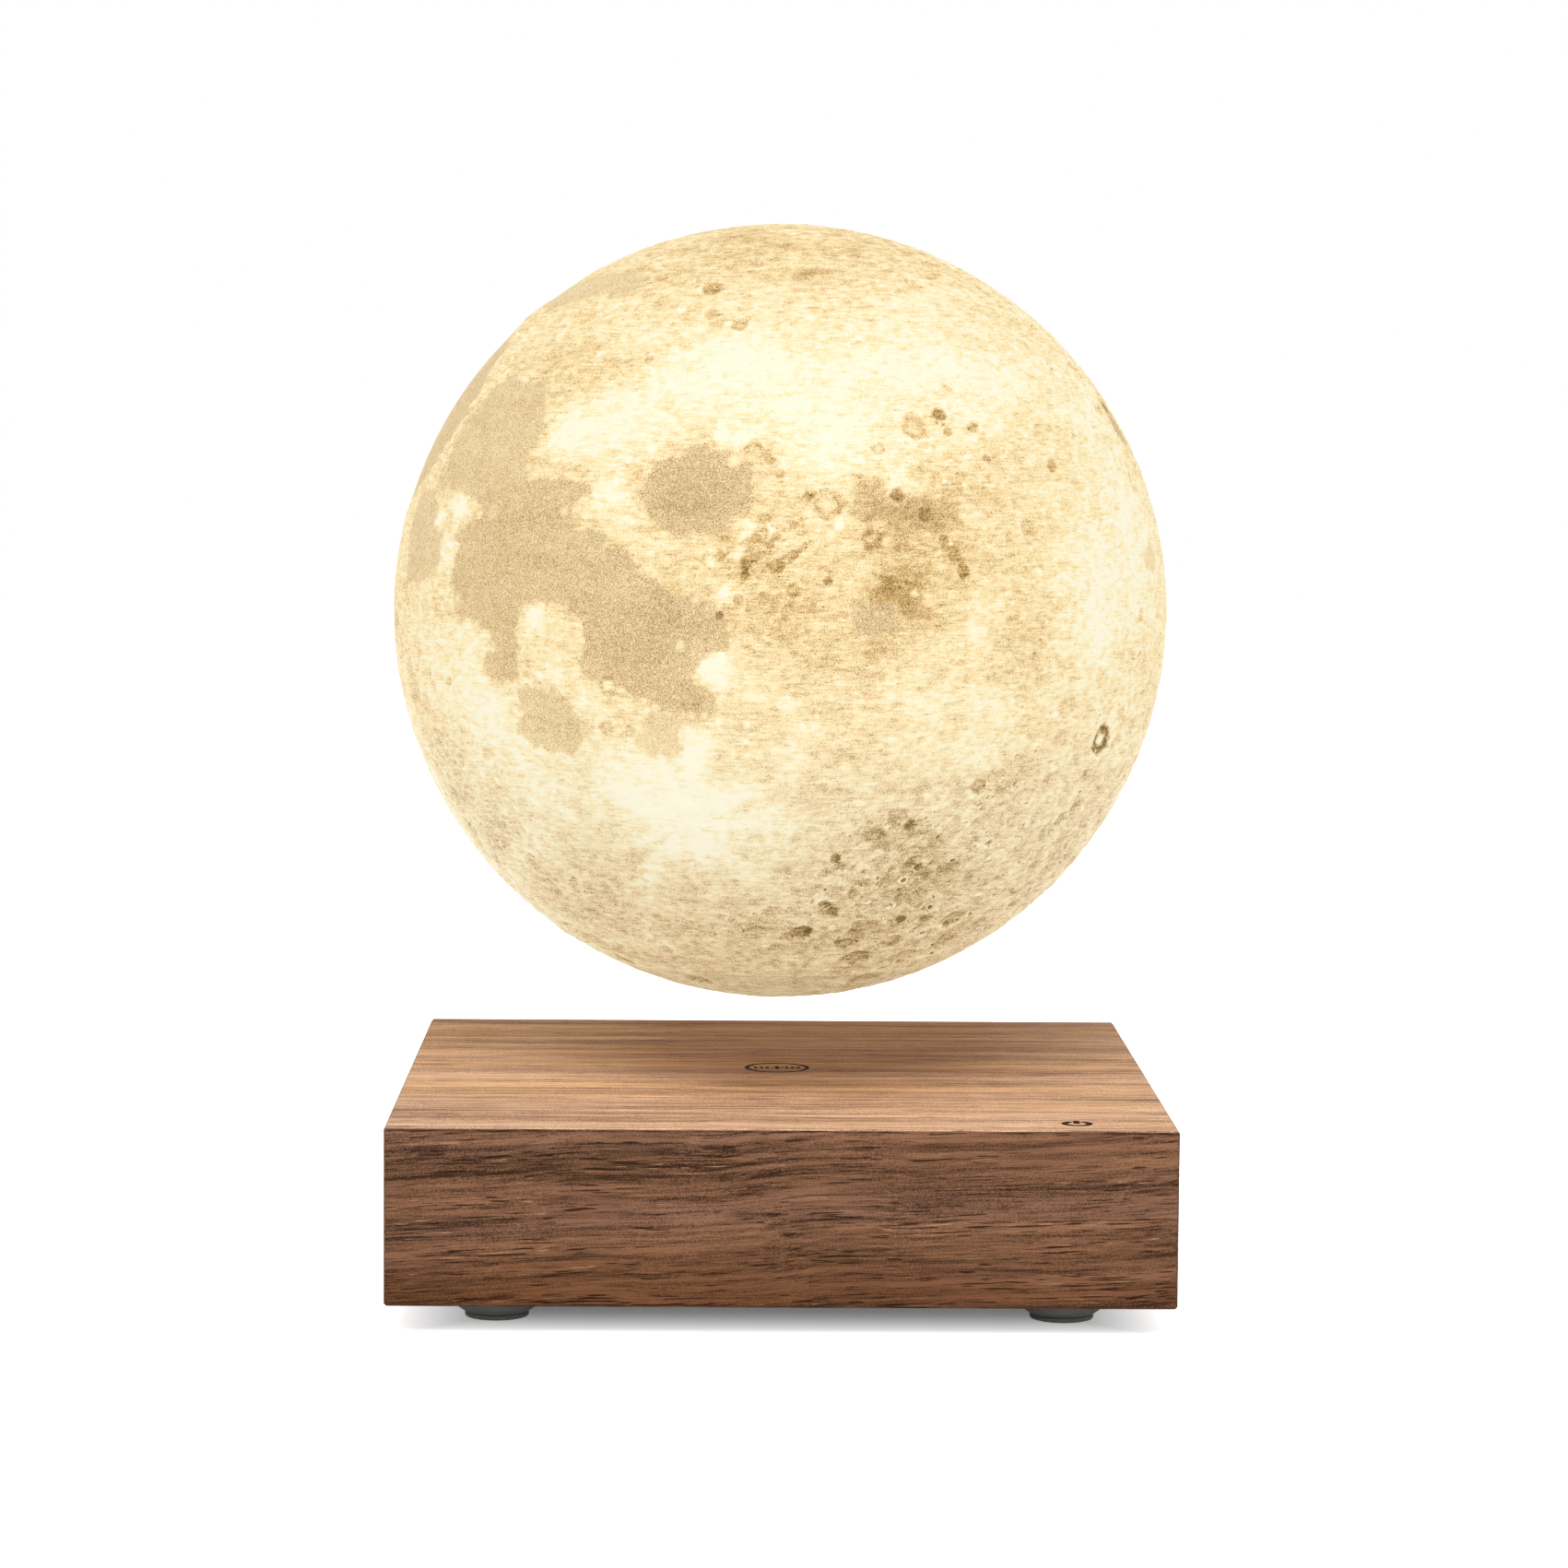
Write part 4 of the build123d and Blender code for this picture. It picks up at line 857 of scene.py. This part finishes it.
def printed_sphere(globe, material):
    """The whole printed globe with its relief and masks, before it is parted at the seam."""
    directions, faces = cube_sphere(cells_across)
    points = directions @ moon_turn()
    masks = moon_masks(points)
    below_seam = np.degrees(np.arccos(-directions[:, 2])) - math.degrees(math.asin(seam_radius / globe_radius))
    fade = np.clip(np.abs(below_seam) / 3 - 0.15, 0, 1)
    dry = 1 - 0.8 * np.clip(masks["sea_reach"] / 2 + 0.5, 0, 1)
    masks["sunk"] = globe_relief(points, masks, globe) * fade
    masks["roughness"] = fade * dry * np.clip(masks["wildness"] + 0.2, 0, 1)
    mesh = mesh_from("printed_sphere", directions * globe_radius + np.array(globe_centre), faces)
    for name, values in masks.items():
        set_mask(mesh, name, values)
    merged(mesh, 0.05 * MM)
    values = {"Centre": globe_centre, "Spacing": globe.crater_spacing, "Depth share": globe.crater_depth_share,
              "Roughness": globe.roughness_height, "Margin": outer_margin, "Seed": globe.crater_seed,
              "Material": material}
    return through_nodes("printed_sphere", mesh, crater_scatter_group(), values)


def cut_at(mesh, level, keep_above):
    """Cuts a mesh at a level, keeps one side, and gives the work mesh and its open edge's points in order."""
    work = work_from(mesh)
    whole = work.verts[:] + work.edges[:] + work.faces[:]
    bmesh.ops.bisect_plane(work, geom=whole, plane_co=(0, 0, level), plane_no=(0, 0, 1),
                           clear_inner=keep_above, clear_outer=not keep_above)
    rim = [vert for vert in work.verts if vert.is_boundary]
    rim.sort(key=lambda vert: math.atan2(vert.co.y, vert.co.x))
    return work, rim


def add_rows(work, rim, profile, end_level):
    """Carries an open round edge on through rings of these radii and levels, and closes it on the axis."""
    row = rim
    turns = [math.atan2(vert.co.y, vert.co.x) for vert in rim]
    for radius, level in profile:
        after = [work.verts.new((radius * math.cos(turn), radius * math.sin(turn), level)) for turn in turns]
        for index in range(len(row)):
            following = (index + 1) % len(row)
            work.faces.new((row[index], row[following], after[following], after[index]))
        row = after
    end = work.verts.new((0, 0, end_level))
    for index in range(len(row)):
        work.faces.new((row[index], row[(index + 1) % len(row)], end))


def globe_mesh(sphere):
    """The globe above the seam, with the opening's edge and the smooth inner wall."""
    outer, cavity = globe_radius - outer_margin, globe_radius - shell_wall
    work, rim = cut_at(sphere, globe_centre.z - seam_depth(outer, seam_radius), True)
    lowest = -math.acos(seam_radius / cavity)
    angles = [lowest + (math.pi / 2 - lowest) * row / inner_rows for row in range(inner_rows)]
    profile = [(cavity * math.cos(angle), globe_centre.z + cavity * math.sin(angle)) for angle in angles]
    add_rows(work, rim, profile, globe_centre.z + cavity)
    return finished(work, bpy.data.meshes.new("globe_print"))


def cap_mesh(sphere):
    """The cap below the seam: the flat land, the rim wall, and the stepped inside that holds the housing."""
    radius = seam_radius - seam_gap
    work, rim = cut_at(sphere, globe_centre.z - seam_depth(globe_radius - outer_margin, radius), False)
    land = globe_centre.z - seam_depth(globe_radius, land_radius)
    for vert in work.verts:
        vert.co.z = max(vert.co.z, land)
    housing_low, housing_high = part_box("magnet_housing")
    bore, pocket_seat, top = housing_high.x + housing_fit, housing_low.z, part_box("housing_lid")[0].z
    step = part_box("float_magnet")[1].x + magnet_gap + housing_wall + housing_fit
    bay_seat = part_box("receiver_coil")[0].z - housing_wall
    profile = [(radius, top), (bore, top), (bore, bay_seat), (step, bay_seat), (step, pocket_seat)]
    add_rows(work, rim, profile, pocket_seat)
    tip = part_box("moon_cap")[1].x
    under = globe_centre.z - seam_depth(globe_radius - shell_wall, tip) + hook_seat_gap
    over = under + hook_height
    section = [(radius - hook_root, under), (tip, under), (radius, over), (radius - hook_root, over)]
    for number in range(hook_count):
        points, faces = swept(section, 360 * number / hook_count - hook_sweep / 2, hook_sweep, hook_sides)
        corners = [work.verts.new(point) for point in points]
        for face in faces:
            work.faces.new([corners[index] for index in face])
    return finished(work, bpy.data.meshes.new("cap_print"))


class LAMP_OT_globe(bpy.types.Operator):
    """Build the printed globe and the cap that closes it, with seas, craters and glow"""
    bl_idname = "lamp.globe"
    bl_label = "Printed globe"

    def execute(self, context):
        globe = context.scene.lamp_globe
        print_material = moon_material("glowing_print", globe, globe.glow)
        cap_material = moon_material("cap_print", globe, globe.glow * cap_glow_share)
        sphere = printed_sphere(globe, print_material)
        rows = (("globe_print", globe_mesh(sphere), "moon_shell", print_material),
                ("cap_print", cap_mesh(sphere), "moon_cap", cap_material))
        bpy.data.meshes.remove(sphere)
        for name, mesh, node, material in rows:
            smooth_up_to(mesh, smooth_print)
            give_materials(mesh, material)
            new_piece(name, mesh, "moon", node)
        return {"FINISHED"}


# Walnut

def walnut_group(name):
    """Walnut figure along X: broad stripes, fine lines, dark open pores, and their height."""
    group, given = new_group(
        name,
        {"Place": "Vector", "Light": "Color", "Dark": "Color", "Pore": "Color", "Stripe spacing": 11 * MM,
         "Pore length": 11 * MM, "Pore amount": 0.5, "Sway": 5 * MM, "Stripes": 0.6, "Lines": 0.8, "Fibres": 0.8,
         "Speckle": 1.0, "Golden": 0.4, "Glint dash": "Color"},
        {"Color": "Color", "Roughness": "Float", "Height": "Float"})
    place = given["Place"]
    sway = (cloud(place * (1, 0.6, 0.6), 70 * MM) - 0.5) * given["Sway"]
    place += joined(0, sway, sway)
    across = place * (0.05, 1, 1) * (1 / given["Stripe spacing"])
    fibres = cloud(place * (0.035, 1, 1), 0.32 * MM, 2, 0.7) - 0.5
    dark = 0.5 + (cloud(across, 1, 3) - 0.5) * given["Stripes"] + fibres * given["Fibres"]
    dark += (cloud(place * (0.018, 1, 1), 1.3 * MM, 3, 0.6) - 0.5) * given["Lines"]
    dark += (cloud(place * (0.8, 0.35, 1), 0.26 * MM, 0) - 0.5) * given["Speckle"]
    colour = blended(clamped(dark), given["Light"], given["Dark"])
    stripes_apart = 1 / 0.6
    golden = clamped(remapped(cloud(across + (3, 7, 5), stripes_apart), 0.42, 0.62) * given["Golden"])
    colour = blended(golden, colour, (1.0, 0.94, 0.72, 1), "MULTIPLY")

    # Dashes along the grain: the long dark ones are pores, and some short pale ones are painted highlights
    dashes = cloud(place * joined(1 / given["Pore length"], 1 / dash_width, 1 / dash_width), 1)
    bunch = cloud(place * (0.045, 1, 1), 2.6 * MM, 3)
    edge = 0.91 - bunch * 0.45 - given["Pore amount"] * 0.1
    pores = remapped(dashes - edge, 0.0, 0.05)
    colour = blended(pores * 0.9, colour, given["Pore"])
    colour = blended(remapped(dashes + edge, 0.85, 0.90, 1, 0) * 0.5, colour, given["Glint dash"])
    put(group, "NodeGroupOutput",
        {"Color": colour, "Roughness": fibres * 0.3 + 0.55 + pores * 0.2, "Height": fibres - pores})
    return group


def walnut_material(name, walnut, light, dark, along_y, tilt, shine, figure):
    """Walnut whose grain runs along X, or along Y for the side walls, with a thin dark seam under the top's edge."""
    material, tree, shader = new_material(name, Specular_IOR_Level=shine)
    place = object_place(tree)
    level = split(place)[2]
    turn = (math.radians(tilt), 0, math.radians(90)) if along_y else (0, -math.radians(tilt), 0)
    place = wired("ShaderNodeMapping",
                  {"Vector": place, "Rotation": turn, "Scale": (1, 1, -1), "Location": (0, 0, box_top)})
    values = {"Place": place, "Light": light, "Dark": dark, "Pore": walnut.pore, "Glint dash": walnut.pale_dash,
              "Stripe spacing": walnut.stripe_spacing, "Pore length": walnut.pore_length, **figure}
    wood = use_group(tree, "walnut_figure", walnut_group, values)
    # The walls turn darker towards their bottom
    ragged = cloud(place * (0.05, 1, 1), 5 * MM, 3)
    low = remapped(ragged * (14 * MM) + level, 11 * MM, 30 * MM, 0.95, 0)
    colour = blended(low, wood["Color"], walnut.heartwood, "MULTIPLY")
    seam = band(level, *seam_levels)
    broken = remapped(cloud(place, 9 * MM, 4, 0.7), 0.34, 0.6, 0.15, 0.85)
    colour = blended(seam * broken, colour, walnut.pore)
    link(shader, Base_Color=colour, Roughness=wood["Roughness"], Normal=bump(wood["Height"], 0.08 * MM, 0.6))
    return material


def top_material(walnut):
    """The top panel's walnut, with a painted shadow of the globe across its middle and painted shade toward the back.
    """
    material = walnut_material(
        "walnut_top", walnut, walnut.top_light, walnut.top_dark, False, 0, top_shine, top_figure)
    shader = material.node_tree.nodes["Principled BSDF"]
    wood = Wire(shader.inputs["Base Color"].links[0].from_socket)
    place = object_place(wood.tree)
    # Painted shadow of the globe: a ragged round patch a little behind the panel's middle
    from_middle = (place - painted_shadow_middle) * (1 / painted_shadow_reach[0], 1 / painted_shadow_reach[1], 1)
    away = cloud(place * (0.15, 1, 1), 6 * MM, 3) * 0.5 + vectors("LENGTH", from_middle)
    # Painted shade, deeper toward the back of the panel
    behind = remapped(split(place)[1], -40 * MM, 78 * MM, 0, 0.4)
    share = clamped(remapped(away, 0.45, 1.4, 1, 0) + behind)
    link(shader, Base_Color=blended(share, wood, walnut.heartwood, "MULTIPLY"))
    return material


def burnt_material(walnut):
    material, tree, shader = new_material("burnt_line", Specular_IOR_Level=0.15)
    char = cloud(object_place(tree), 0.5 * MM, 3, 0.7)
    lighter = [value * 1.6 for value in walnut.burn[:3]] + [1]
    link(shader, Base_Color=blended(remapped(char, 0.35, 0.75), walnut.burn, lighter),
         Roughness=remapped(char, 0.2, 0.8, 0.8, 0.95), Normal=bump(char, 0.05 * MM, 0.5))
    return material


def arc(middle, radius, start, sweep, steps):
    """Points round a middle, with the angles in radians."""
    turns = [start + sweep * step / steps for step in range(steps + 1)]
    return [(middle[0] + radius * math.cos(turn), middle[1] + radius * math.sin(turn)) for turn in turns]


def arc_outline(middle, radius, width, start, sweep):
    """The outline of an arc with round ends."""
    half, steps = width / 2, max(12, int(sweep / 4))
    first, last = math.radians(start), math.radians(start + sweep)
    outline = []
    for side, begin, end, facing in ((half, first, last, last), (-half, last, first, first + math.pi)):
        tip = arc(middle, radius, end, 0, 1)[0]
        outline += arc(middle, radius + side, begin, end - begin, steps) + arc(tip, half, facing, math.pi, 6)[1:-1]
    return outline


def line_outline(start, end, width):
    """The outline of a straight line with round ends."""
    heading = math.atan2(end[1] - start[1], end[0] - start[0])
    return (arc(end, width / 2, heading - math.pi / 2, math.pi, 8)
            + arc(start, width / 2, heading + math.pi / 2, math.pi, 8))


def prism(outline, low, high):
    """The points and faces of an upright solid over an outline."""
    count = len(outline)
    points = [(x, y, low) for x, y in outline] + [(x, y, high) for x, y in outline]
    faces = [tuple(reversed(range(count))), tuple(range(count, 2 * count))]
    faces += [(i, (i + 1) % count, count + (i + 1) % count, count + i) for i in range(count)]
    return points, faces


def burnt_marks(walnut):
    """Cutters for the ring with its cross and ticks under the globe, and for the power mark."""
    low, high = box_top - walnut.line_depth, box_top + 2 * MM
    x, y, power, half = touch_place.x, touch_place.y, walnut.power_radius, walnut.line_width / 2
    lines = [((-cross_reach[0], 0), (cross_reach[0], 0)), ((0, -cross_reach[1]), (0, cross_reach[1]))]
    lines += [((side * tick, -tick_reach), (side * tick, tick_reach)) for tick in tick_places for side in (-1, 1)]
    outlines = [line_outline(start, end, walnut.line_width * 0.8) for start, end in lines]
    outlines.append(arc_outline((x, y), power, walnut.power_width, 90 + arc_gap / 2, 360 - arc_gap))
    outlines.append(line_outline((x, y + power * 0.15), (x, y + power * 1.15), walnut.power_width))
    inner, outer = walnut.ring_radius - half, walnut.ring_radius + half
    ring = swept([(inner, low), (outer, low), (outer, high), (inner, high)], 0, 360, ring_sides)
    return [ring] + [prism(outline, low, high) for outline in outlines]


def cut_panel(wood, burnt, marks):
    """The top panel's mesh with the burnt lines cut into it."""
    panel = merged(frame["nodes"]["top_panel"].data.copy(), 0.001 * MM)
    give_materials(panel, wood)
    scratch = in_scene("panel_work", panel)
    cutters = bpy.data.collections.new("cutters")
    bpy.context.scene.collection.children.link(cutters)
    for number, (points, faces) in enumerate(marks):
        mesh = merged(mesh_from(f"mark_{number}", points, faces), 0.0001 * MM)
        give_materials(mesh, burnt)
        cutters.objects.link(bpy.data.objects.new(mesh.name, mesh))
    modifier = scratch.modifiers.new("burnt_marks", "BOOLEAN")
    modifier.operation, modifier.solver, modifier.operand_type = "DIFFERENCE", "EXACT", "COLLECTION"
    modifier.collection, modifier.material_mode, modifier.use_self = cutters, "TRANSFER", True
    mesh = evaluated_mesh(scratch)
    for cutter in list(cutters.objects):
        bpy.data.objects.remove(cutter)
    bpy.data.collections.remove(cutters)
    return mesh


class LAMP_OT_walnut_base(bpy.types.Operator):
    """Finish the walnut box: striped top with its burnt marks, and walls with pores"""
    bl_idname = "lamp.walnut_base"
    bl_label = "Walnut base"

    def execute(self, context):
        walnut = context.scene.lamp_walnut
        mesh = cut_panel(top_material(walnut), burnt_material(walnut), burnt_marks(walnut))
        new_piece("marked_top_panel", mesh, "base", "top_panel")
        figure = {**wall_figure, "Stripe spacing": walnut.stripe_spacing * wall_stripe_share}
        for name, along_y, walls in (("walnut_front", False, ("front_wall", "back_wall")),
                                     ("walnut_side", True, ("left_wall", "right_wall"))):
            wood = walnut_material(
                name, walnut, walnut.wall_light, walnut.wall_dark, along_y, wall_tilt, wall_shine, figure)
            for wall in walls:
                give_materials(frame["nodes"][wall].data, wood)
        return {"FINISHED"}


# Fittings

def texture_group(name):
    """Fine moulded or sawn texture: a shade that varies a little, a roughness and a height."""
    group, given = new_group(
        name, {"Place": "Vector", "Color": "Color", "Spacing": 0.6 * MM, "Roughness": 0.5, "Contrast": 0.2},
        {"Color": "Color", "Roughness": "Float", "Height": "Float"})
    grain = cloud(given["Place"], given["Spacing"], 3)
    bright = (grain - 0.5 + (cloud(given["Place"], 14 * MM) - 0.5)) * given["Contrast"] + 1
    put(group, "NodeGroupOutput", {"Color": given["Color"] * bright, "Height": grain,
                                   "Roughness": clamped(grain * 0.18 + (given["Roughness"] - 0.09))})
    return group


def textured_material(name, colour, spacing, roughness, contrast, depth, stretch=(1, 1, 1), **constants):
    """A material with a fine even texture, stretched where the surface is drawn or sawn."""
    material, tree, shader = new_material(name, **constants)
    values = {"Place": object_place(tree) * stretch, "Color": colour, "Spacing": spacing, "Roughness": roughness,
              "Contrast": contrast}
    texture = use_group(tree, "fine_texture", texture_group, values)
    link(shader, Base_Color=texture["Color"], Roughness=texture["Roughness"],
         Normal=bump(texture["Height"], depth, 0.5))
    return material


def fitting_materials(fittings):
    """Every finish of the fittings by its name: colour, grain spacing, roughness, contrast, depth and stretch."""
    rows = {
        "rubber": (fittings.rubber, 0.35 * MM, 0.72, 0.35, 0.03 * MM),
        "black_plastic": (fittings.plastic, 0.5 * MM, 0.55, 0.3, 0.03 * MM),
        "housing_plastic": (fittings.housing, 0.6 * MM, 0.42, 0.12, 0.02 * MM),
        "glue_block_wood": (fittings.glue_wood, 1.2 * MM, 0.8, 0.4, 0.08 * MM, (1, 1, 0.15)),
        "board_green": (fittings.board, 1.5 * MM, 0.35, 0.3, 0.02 * MM),
        "board_white": ((0.8, 0.8, 0.78, 1), 1.5 * MM, 0.4, 0.1, 0.02 * MM),
        "chip_epoxy": ((0.02, 0.02, 0.021, 1), 0.25 * MM, 0.6, 0.4, 0.02 * MM),
        "lead_sleeve": (fittings.lead, 0.8 * MM, 0.45, 0.15, 0.02 * MM),
    }
    metals = {
        "zinc_steel": (fittings.steel, 0.5 * MM, 0.38, 0.25, 0.01 * MM),
        "rolled_steel": (fittings.steel, 0.6 * MM, 0.42, 0.3, 0.01 * MM, (0.1, 1, 1)),
        "nickel": (fittings.nickel, 2.0 * MM, 0.2, 0.15, 0.01 * MM),
        "brass": (fittings.brass, 0.6 * MM, 0.28, 0.15, 0.01 * MM),
        "copper_wire": (fittings.copper, 0.55 * MM, 0.3, 0.45, 0.06 * MM, (0.05, 0.05, 1)),
        "copper_foil": (fittings.copper, 1.0 * MM, 0.25, 0.2, 0.02 * MM),
        "drawn_can": ((0.62, 0.62, 0.64, 1), 0.5 * MM, 0.3, 0.2, 0.01 * MM, (1, 1, 0.1)),
    }
    made = {name: textured_material(name, *row) for name, row in rows.items()}
    made.update({name: textured_material(name, *row, Metallic=1.0) for name, row in metals.items()})
    made["lit_diode"] = textured_material(
        "lit_diode", fittings.phosphor, 0.4 * MM, 0.3, 0.2, 0.01 * MM,
        Emission_Color=fittings.phosphor, Emission_Strength=2.0)
    return made


finish_of_slot = {
    "glue_block_wood": "glue_block_wood", "foot_rubber": "rubber", "base_plastic": "black_plastic",
    "screw_steel": "zinc_steel", "bobbin_plastic": "black_plastic", "copper_wire": "copper_wire",
    "pin_brass": "brass", "copper_foil": "copper_foil", "magnet_nickel": "nickel", "steel_plate": "rolled_steel",
    "circuit_board": "board_green", "chip_plastic": "chip_epoxy", "capacitor_can": "drawn_can",
    "jack_plastic": "black_plastic", "lead_insulation": "lead_sleeve", "housing_plastic": "housing_plastic",
    "led_board_metal": "board_white", "led_resin": "lit_diode",
}


class LAMP_OT_fittings(bpy.types.Operator):
    """Finish the fittings of the base and the globe that keep their own shape"""
    bl_idname = "lamp.fittings"
    bl_label = "Fittings"

    def execute(self, context):
        made = fitting_materials(context.scene.lamp_fittings)
        for subpart in frame["record"]["subparts"]:
            finish = finish_of_slot.get(subpart["material_slot"])
            if finish:
                give_materials(frame["nodes"][subpart["node"]].data, made[finish])
        return {"FINISHED"}


def foot_profile(low, high, radius):
    """A stepped foot from its tread up: rounded tread, groove, flare and rim."""
    tread, lip = radius * 0.79, 0.25 * MM
    groove_low, groove_high = low + 1.0 * MM, low + 1.15 * MM
    flare = low + 2.2 * MM
    return [
        (0, low + 0.3 * MM), (tread * 0.35, low + 0.3 * MM), (tread * 0.42, low), (tread - lip * 2, low),
        (tread - lip * 0.6, low + lip * 0.4), (tread, low + lip * 1.4), (tread, groove_low - lip * 0.6),
        (tread - lip * 0.5, groove_low), (tread - 0.7 * MM, groove_low + 0.05 * MM),
        (tread - 0.7 * MM, groove_high), (tread + 0.1 * MM, groove_high + 0.05 * MM),
        (radius - lip, flare), (radius, flare + lip), (radius, high), (0, high),
    ]


class LAMP_OT_feet(bpy.types.Operator):
    """Build the four stepped rubber feet"""
    bl_idname = "lamp.feet"
    bl_label = "Rubber feet"

    def execute(self, context):
        for corner in ("front_left", "front_right", "back_left", "back_right"):
            low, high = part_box("foot_" + corner)
            profile = foot_profile(low.z, high.z, (high.x - low.x) / 2)
            points, faces = swept(profile, 0, 360, foot_sides, (low + high) / 2)
            mesh = merged(mesh_from("rubber_foot", points, faces), 0.001 * MM)
            smooth_up_to(mesh, smooth_foot)
            give_materials(mesh, bpy.data.materials["rubber"])
            new_piece("rubber_foot_" + corner, mesh, "base", "foot_" + corner)
        return {"FINISHED"}


# Studio

def white_for_camera(plain, white):
    """Takes the second shader where the camera, a reflection or a clear surface looks."""
    path = put(plain.tree, "ShaderNodeLightPath").outputs
    camera, glossy, clear = [Wire(path[f"Is {kind} Ray"]) for kind in ("Camera", "Glossy", "Transmission")]
    seen = sums("MAXIMUM", sums("MAXIMUM", camera, glossy), clear)
    return wired("ShaderNodeMixShader", {0: seen, 1: plain, 2: white})


def make_world(strength):
    world = bpy.data.worlds.new("studio_room")
    bpy.context.scene.world = world
    world.use_nodes = True
    tree = world.node_tree
    tree.nodes.clear()
    room, white = [Wire(put(tree, "ShaderNodeBackground", {"Color": colour, "Strength": power}).outputs[0])
                   for colour, power in (((1.0, 0.985, 0.965, 1), strength), ((1, 1, 1, 1), 1.0))]
    put(tree, "ShaderNodeOutputWorld", {0: white_for_camera(room, white)})


def floor_material():
    """A pale floor that shows white, darker where the lamp's real shadow falls, and under the base also by a painted
    shadow.
    """
    material, tree, shader = new_material("pale_floor", Roughness=0.9, Specular_IOR_Level=0.0)
    speck = cloud(object_place(tree), 40 * MM)
    link(shader, Base_Color=blended(speck, (0.93, 0.93, 0.93, 1), (0.95, 0.95, 0.95, 1)))
    # Painted shadow: the floor's own glow is weakest under the base and grows to full just past its edges
    along = split(object_place(tree, base_middle))
    beyond = sums("MAXIMUM", *[sums("ABSOLUTE", along[axis]) - base_width / 2 for axis in (0, 1)])
    strength = remapped(beyond, *painted_shadow_edge, painted_shadow_least_glow, 1.0)
    white = wired("ShaderNodeEmission", {"Color": (1, 1, 1, 1), "Strength": strength})
    plain = Wire(shader.outputs[0])
    both = wired("ShaderNodeAddShader", {0: plain, 1: white})
    link(tree.nodes["Material Output"], Surface=white_for_camera(plain, both))
    return material


def add_light(name, size, power, place):
    lamp = bpy.data.lights.new(name, "AREA")
    lamp.shape, lamp.size, lamp.energy = "DISK", size, power
    light = in_scene(name, lamp)
    light.location = place
    light.rotation_euler = (globe_centre - Vector(place)).to_track_quat("-Z", "Y").to_euler()


def add_camera():
    """The photograph's view: a long lens in front, a little above the base and tipped down."""
    data = bpy.data.cameras.new("photo_view")
    data.sensor_width, data.lens, data.clip_end = 36.0, camera_lens, 20.0
    camera = in_scene("photo_view", data)
    turn = Matrix.Translation(camera_place)
    for degrees, axis in camera_turns:
        turn @= Matrix.Rotation(math.radians(degrees), 4, axis)
    camera.matrix_world = turn
    bpy.context.scene.camera = camera


class LAMP_OT_studio(bpy.types.Operator):
    """Set the camera, the pale floor and the soft light"""
    bl_idname = "lamp.studio"
    bl_label = "Studio"

    def execute(self, context):
        studio = context.scene.lamp_studio
        context.scene.view_settings.view_transform = "Standard"
        add_camera()
        half = studio.floor_size / 2
        corners = [(-half, -half, 0), (half, -half, 0), (half, half, 0), (-half, half, 0)]
        floor = in_scene("floor", mesh_from("floor", corners, [(0, 1, 2, 3)]))
        give_materials(floor.data, floor_material())
        make_world(studio.world_light)
        add_light("key_light", key_size, studio.key_power, key_place)
        add_light("front_light", front_size, studio.front_power, front_place)
        return {"FINISHED"}


# Panel and registration

settings_of_scene = {
    "lamp_globe": GlobeSettings, "lamp_walnut": WalnutSettings, "lamp_fittings": FittingSettings,
    "lamp_studio": StudioSettings,
}
steps = (LAMP_OT_studio, LAMP_OT_globe, LAMP_OT_walnut_base, LAMP_OT_fittings, LAMP_OT_feet)


class LAMP_PT_sidebar(bpy.types.Panel):
    """Lists the settings and the steps of the moon lamp"""
    bl_idname = "LAMP_PT_sidebar"
    bl_label = "Moon lamp"
    bl_space_type = "VIEW_3D"
    bl_region_type = "UI"
    bl_category = "Moon lamp"

    def draw(self, context):
        for name, kind in settings_of_scene.items():
            box = self.layout.box()
            box.label(text=kind.__doc__)
            for setting in kind.__annotations__:
                box.prop(getattr(context.scene, name), setting)
        for step in steps:
            self.layout.operator(step.bl_idname)


def register():
    for kind in (*settings_of_scene.values(), *steps, LAMP_PT_sidebar):
        bpy.utils.register_class(kind)
    for name, kind in settings_of_scene.items():
        setattr(bpy.types.Scene, name, bpy.props.PointerProperty(type=kind))


def unregister():
    for name in settings_of_scene:
        delattr(bpy.types.Scene, name)
    for kind in (LAMP_PT_sidebar, *reversed(steps), *reversed(settings_of_scene.values())):
        bpy.utils.unregister_class(kind)


def main():
    register()
    bpy.ops.lamp.studio()
    bpy.ops.lamp.globe()
    bpy.ops.lamp.walnut_base()
    bpy.ops.lamp.fittings()
    bpy.ops.lamp.feet()


if __name__ == "__main__":
    main()
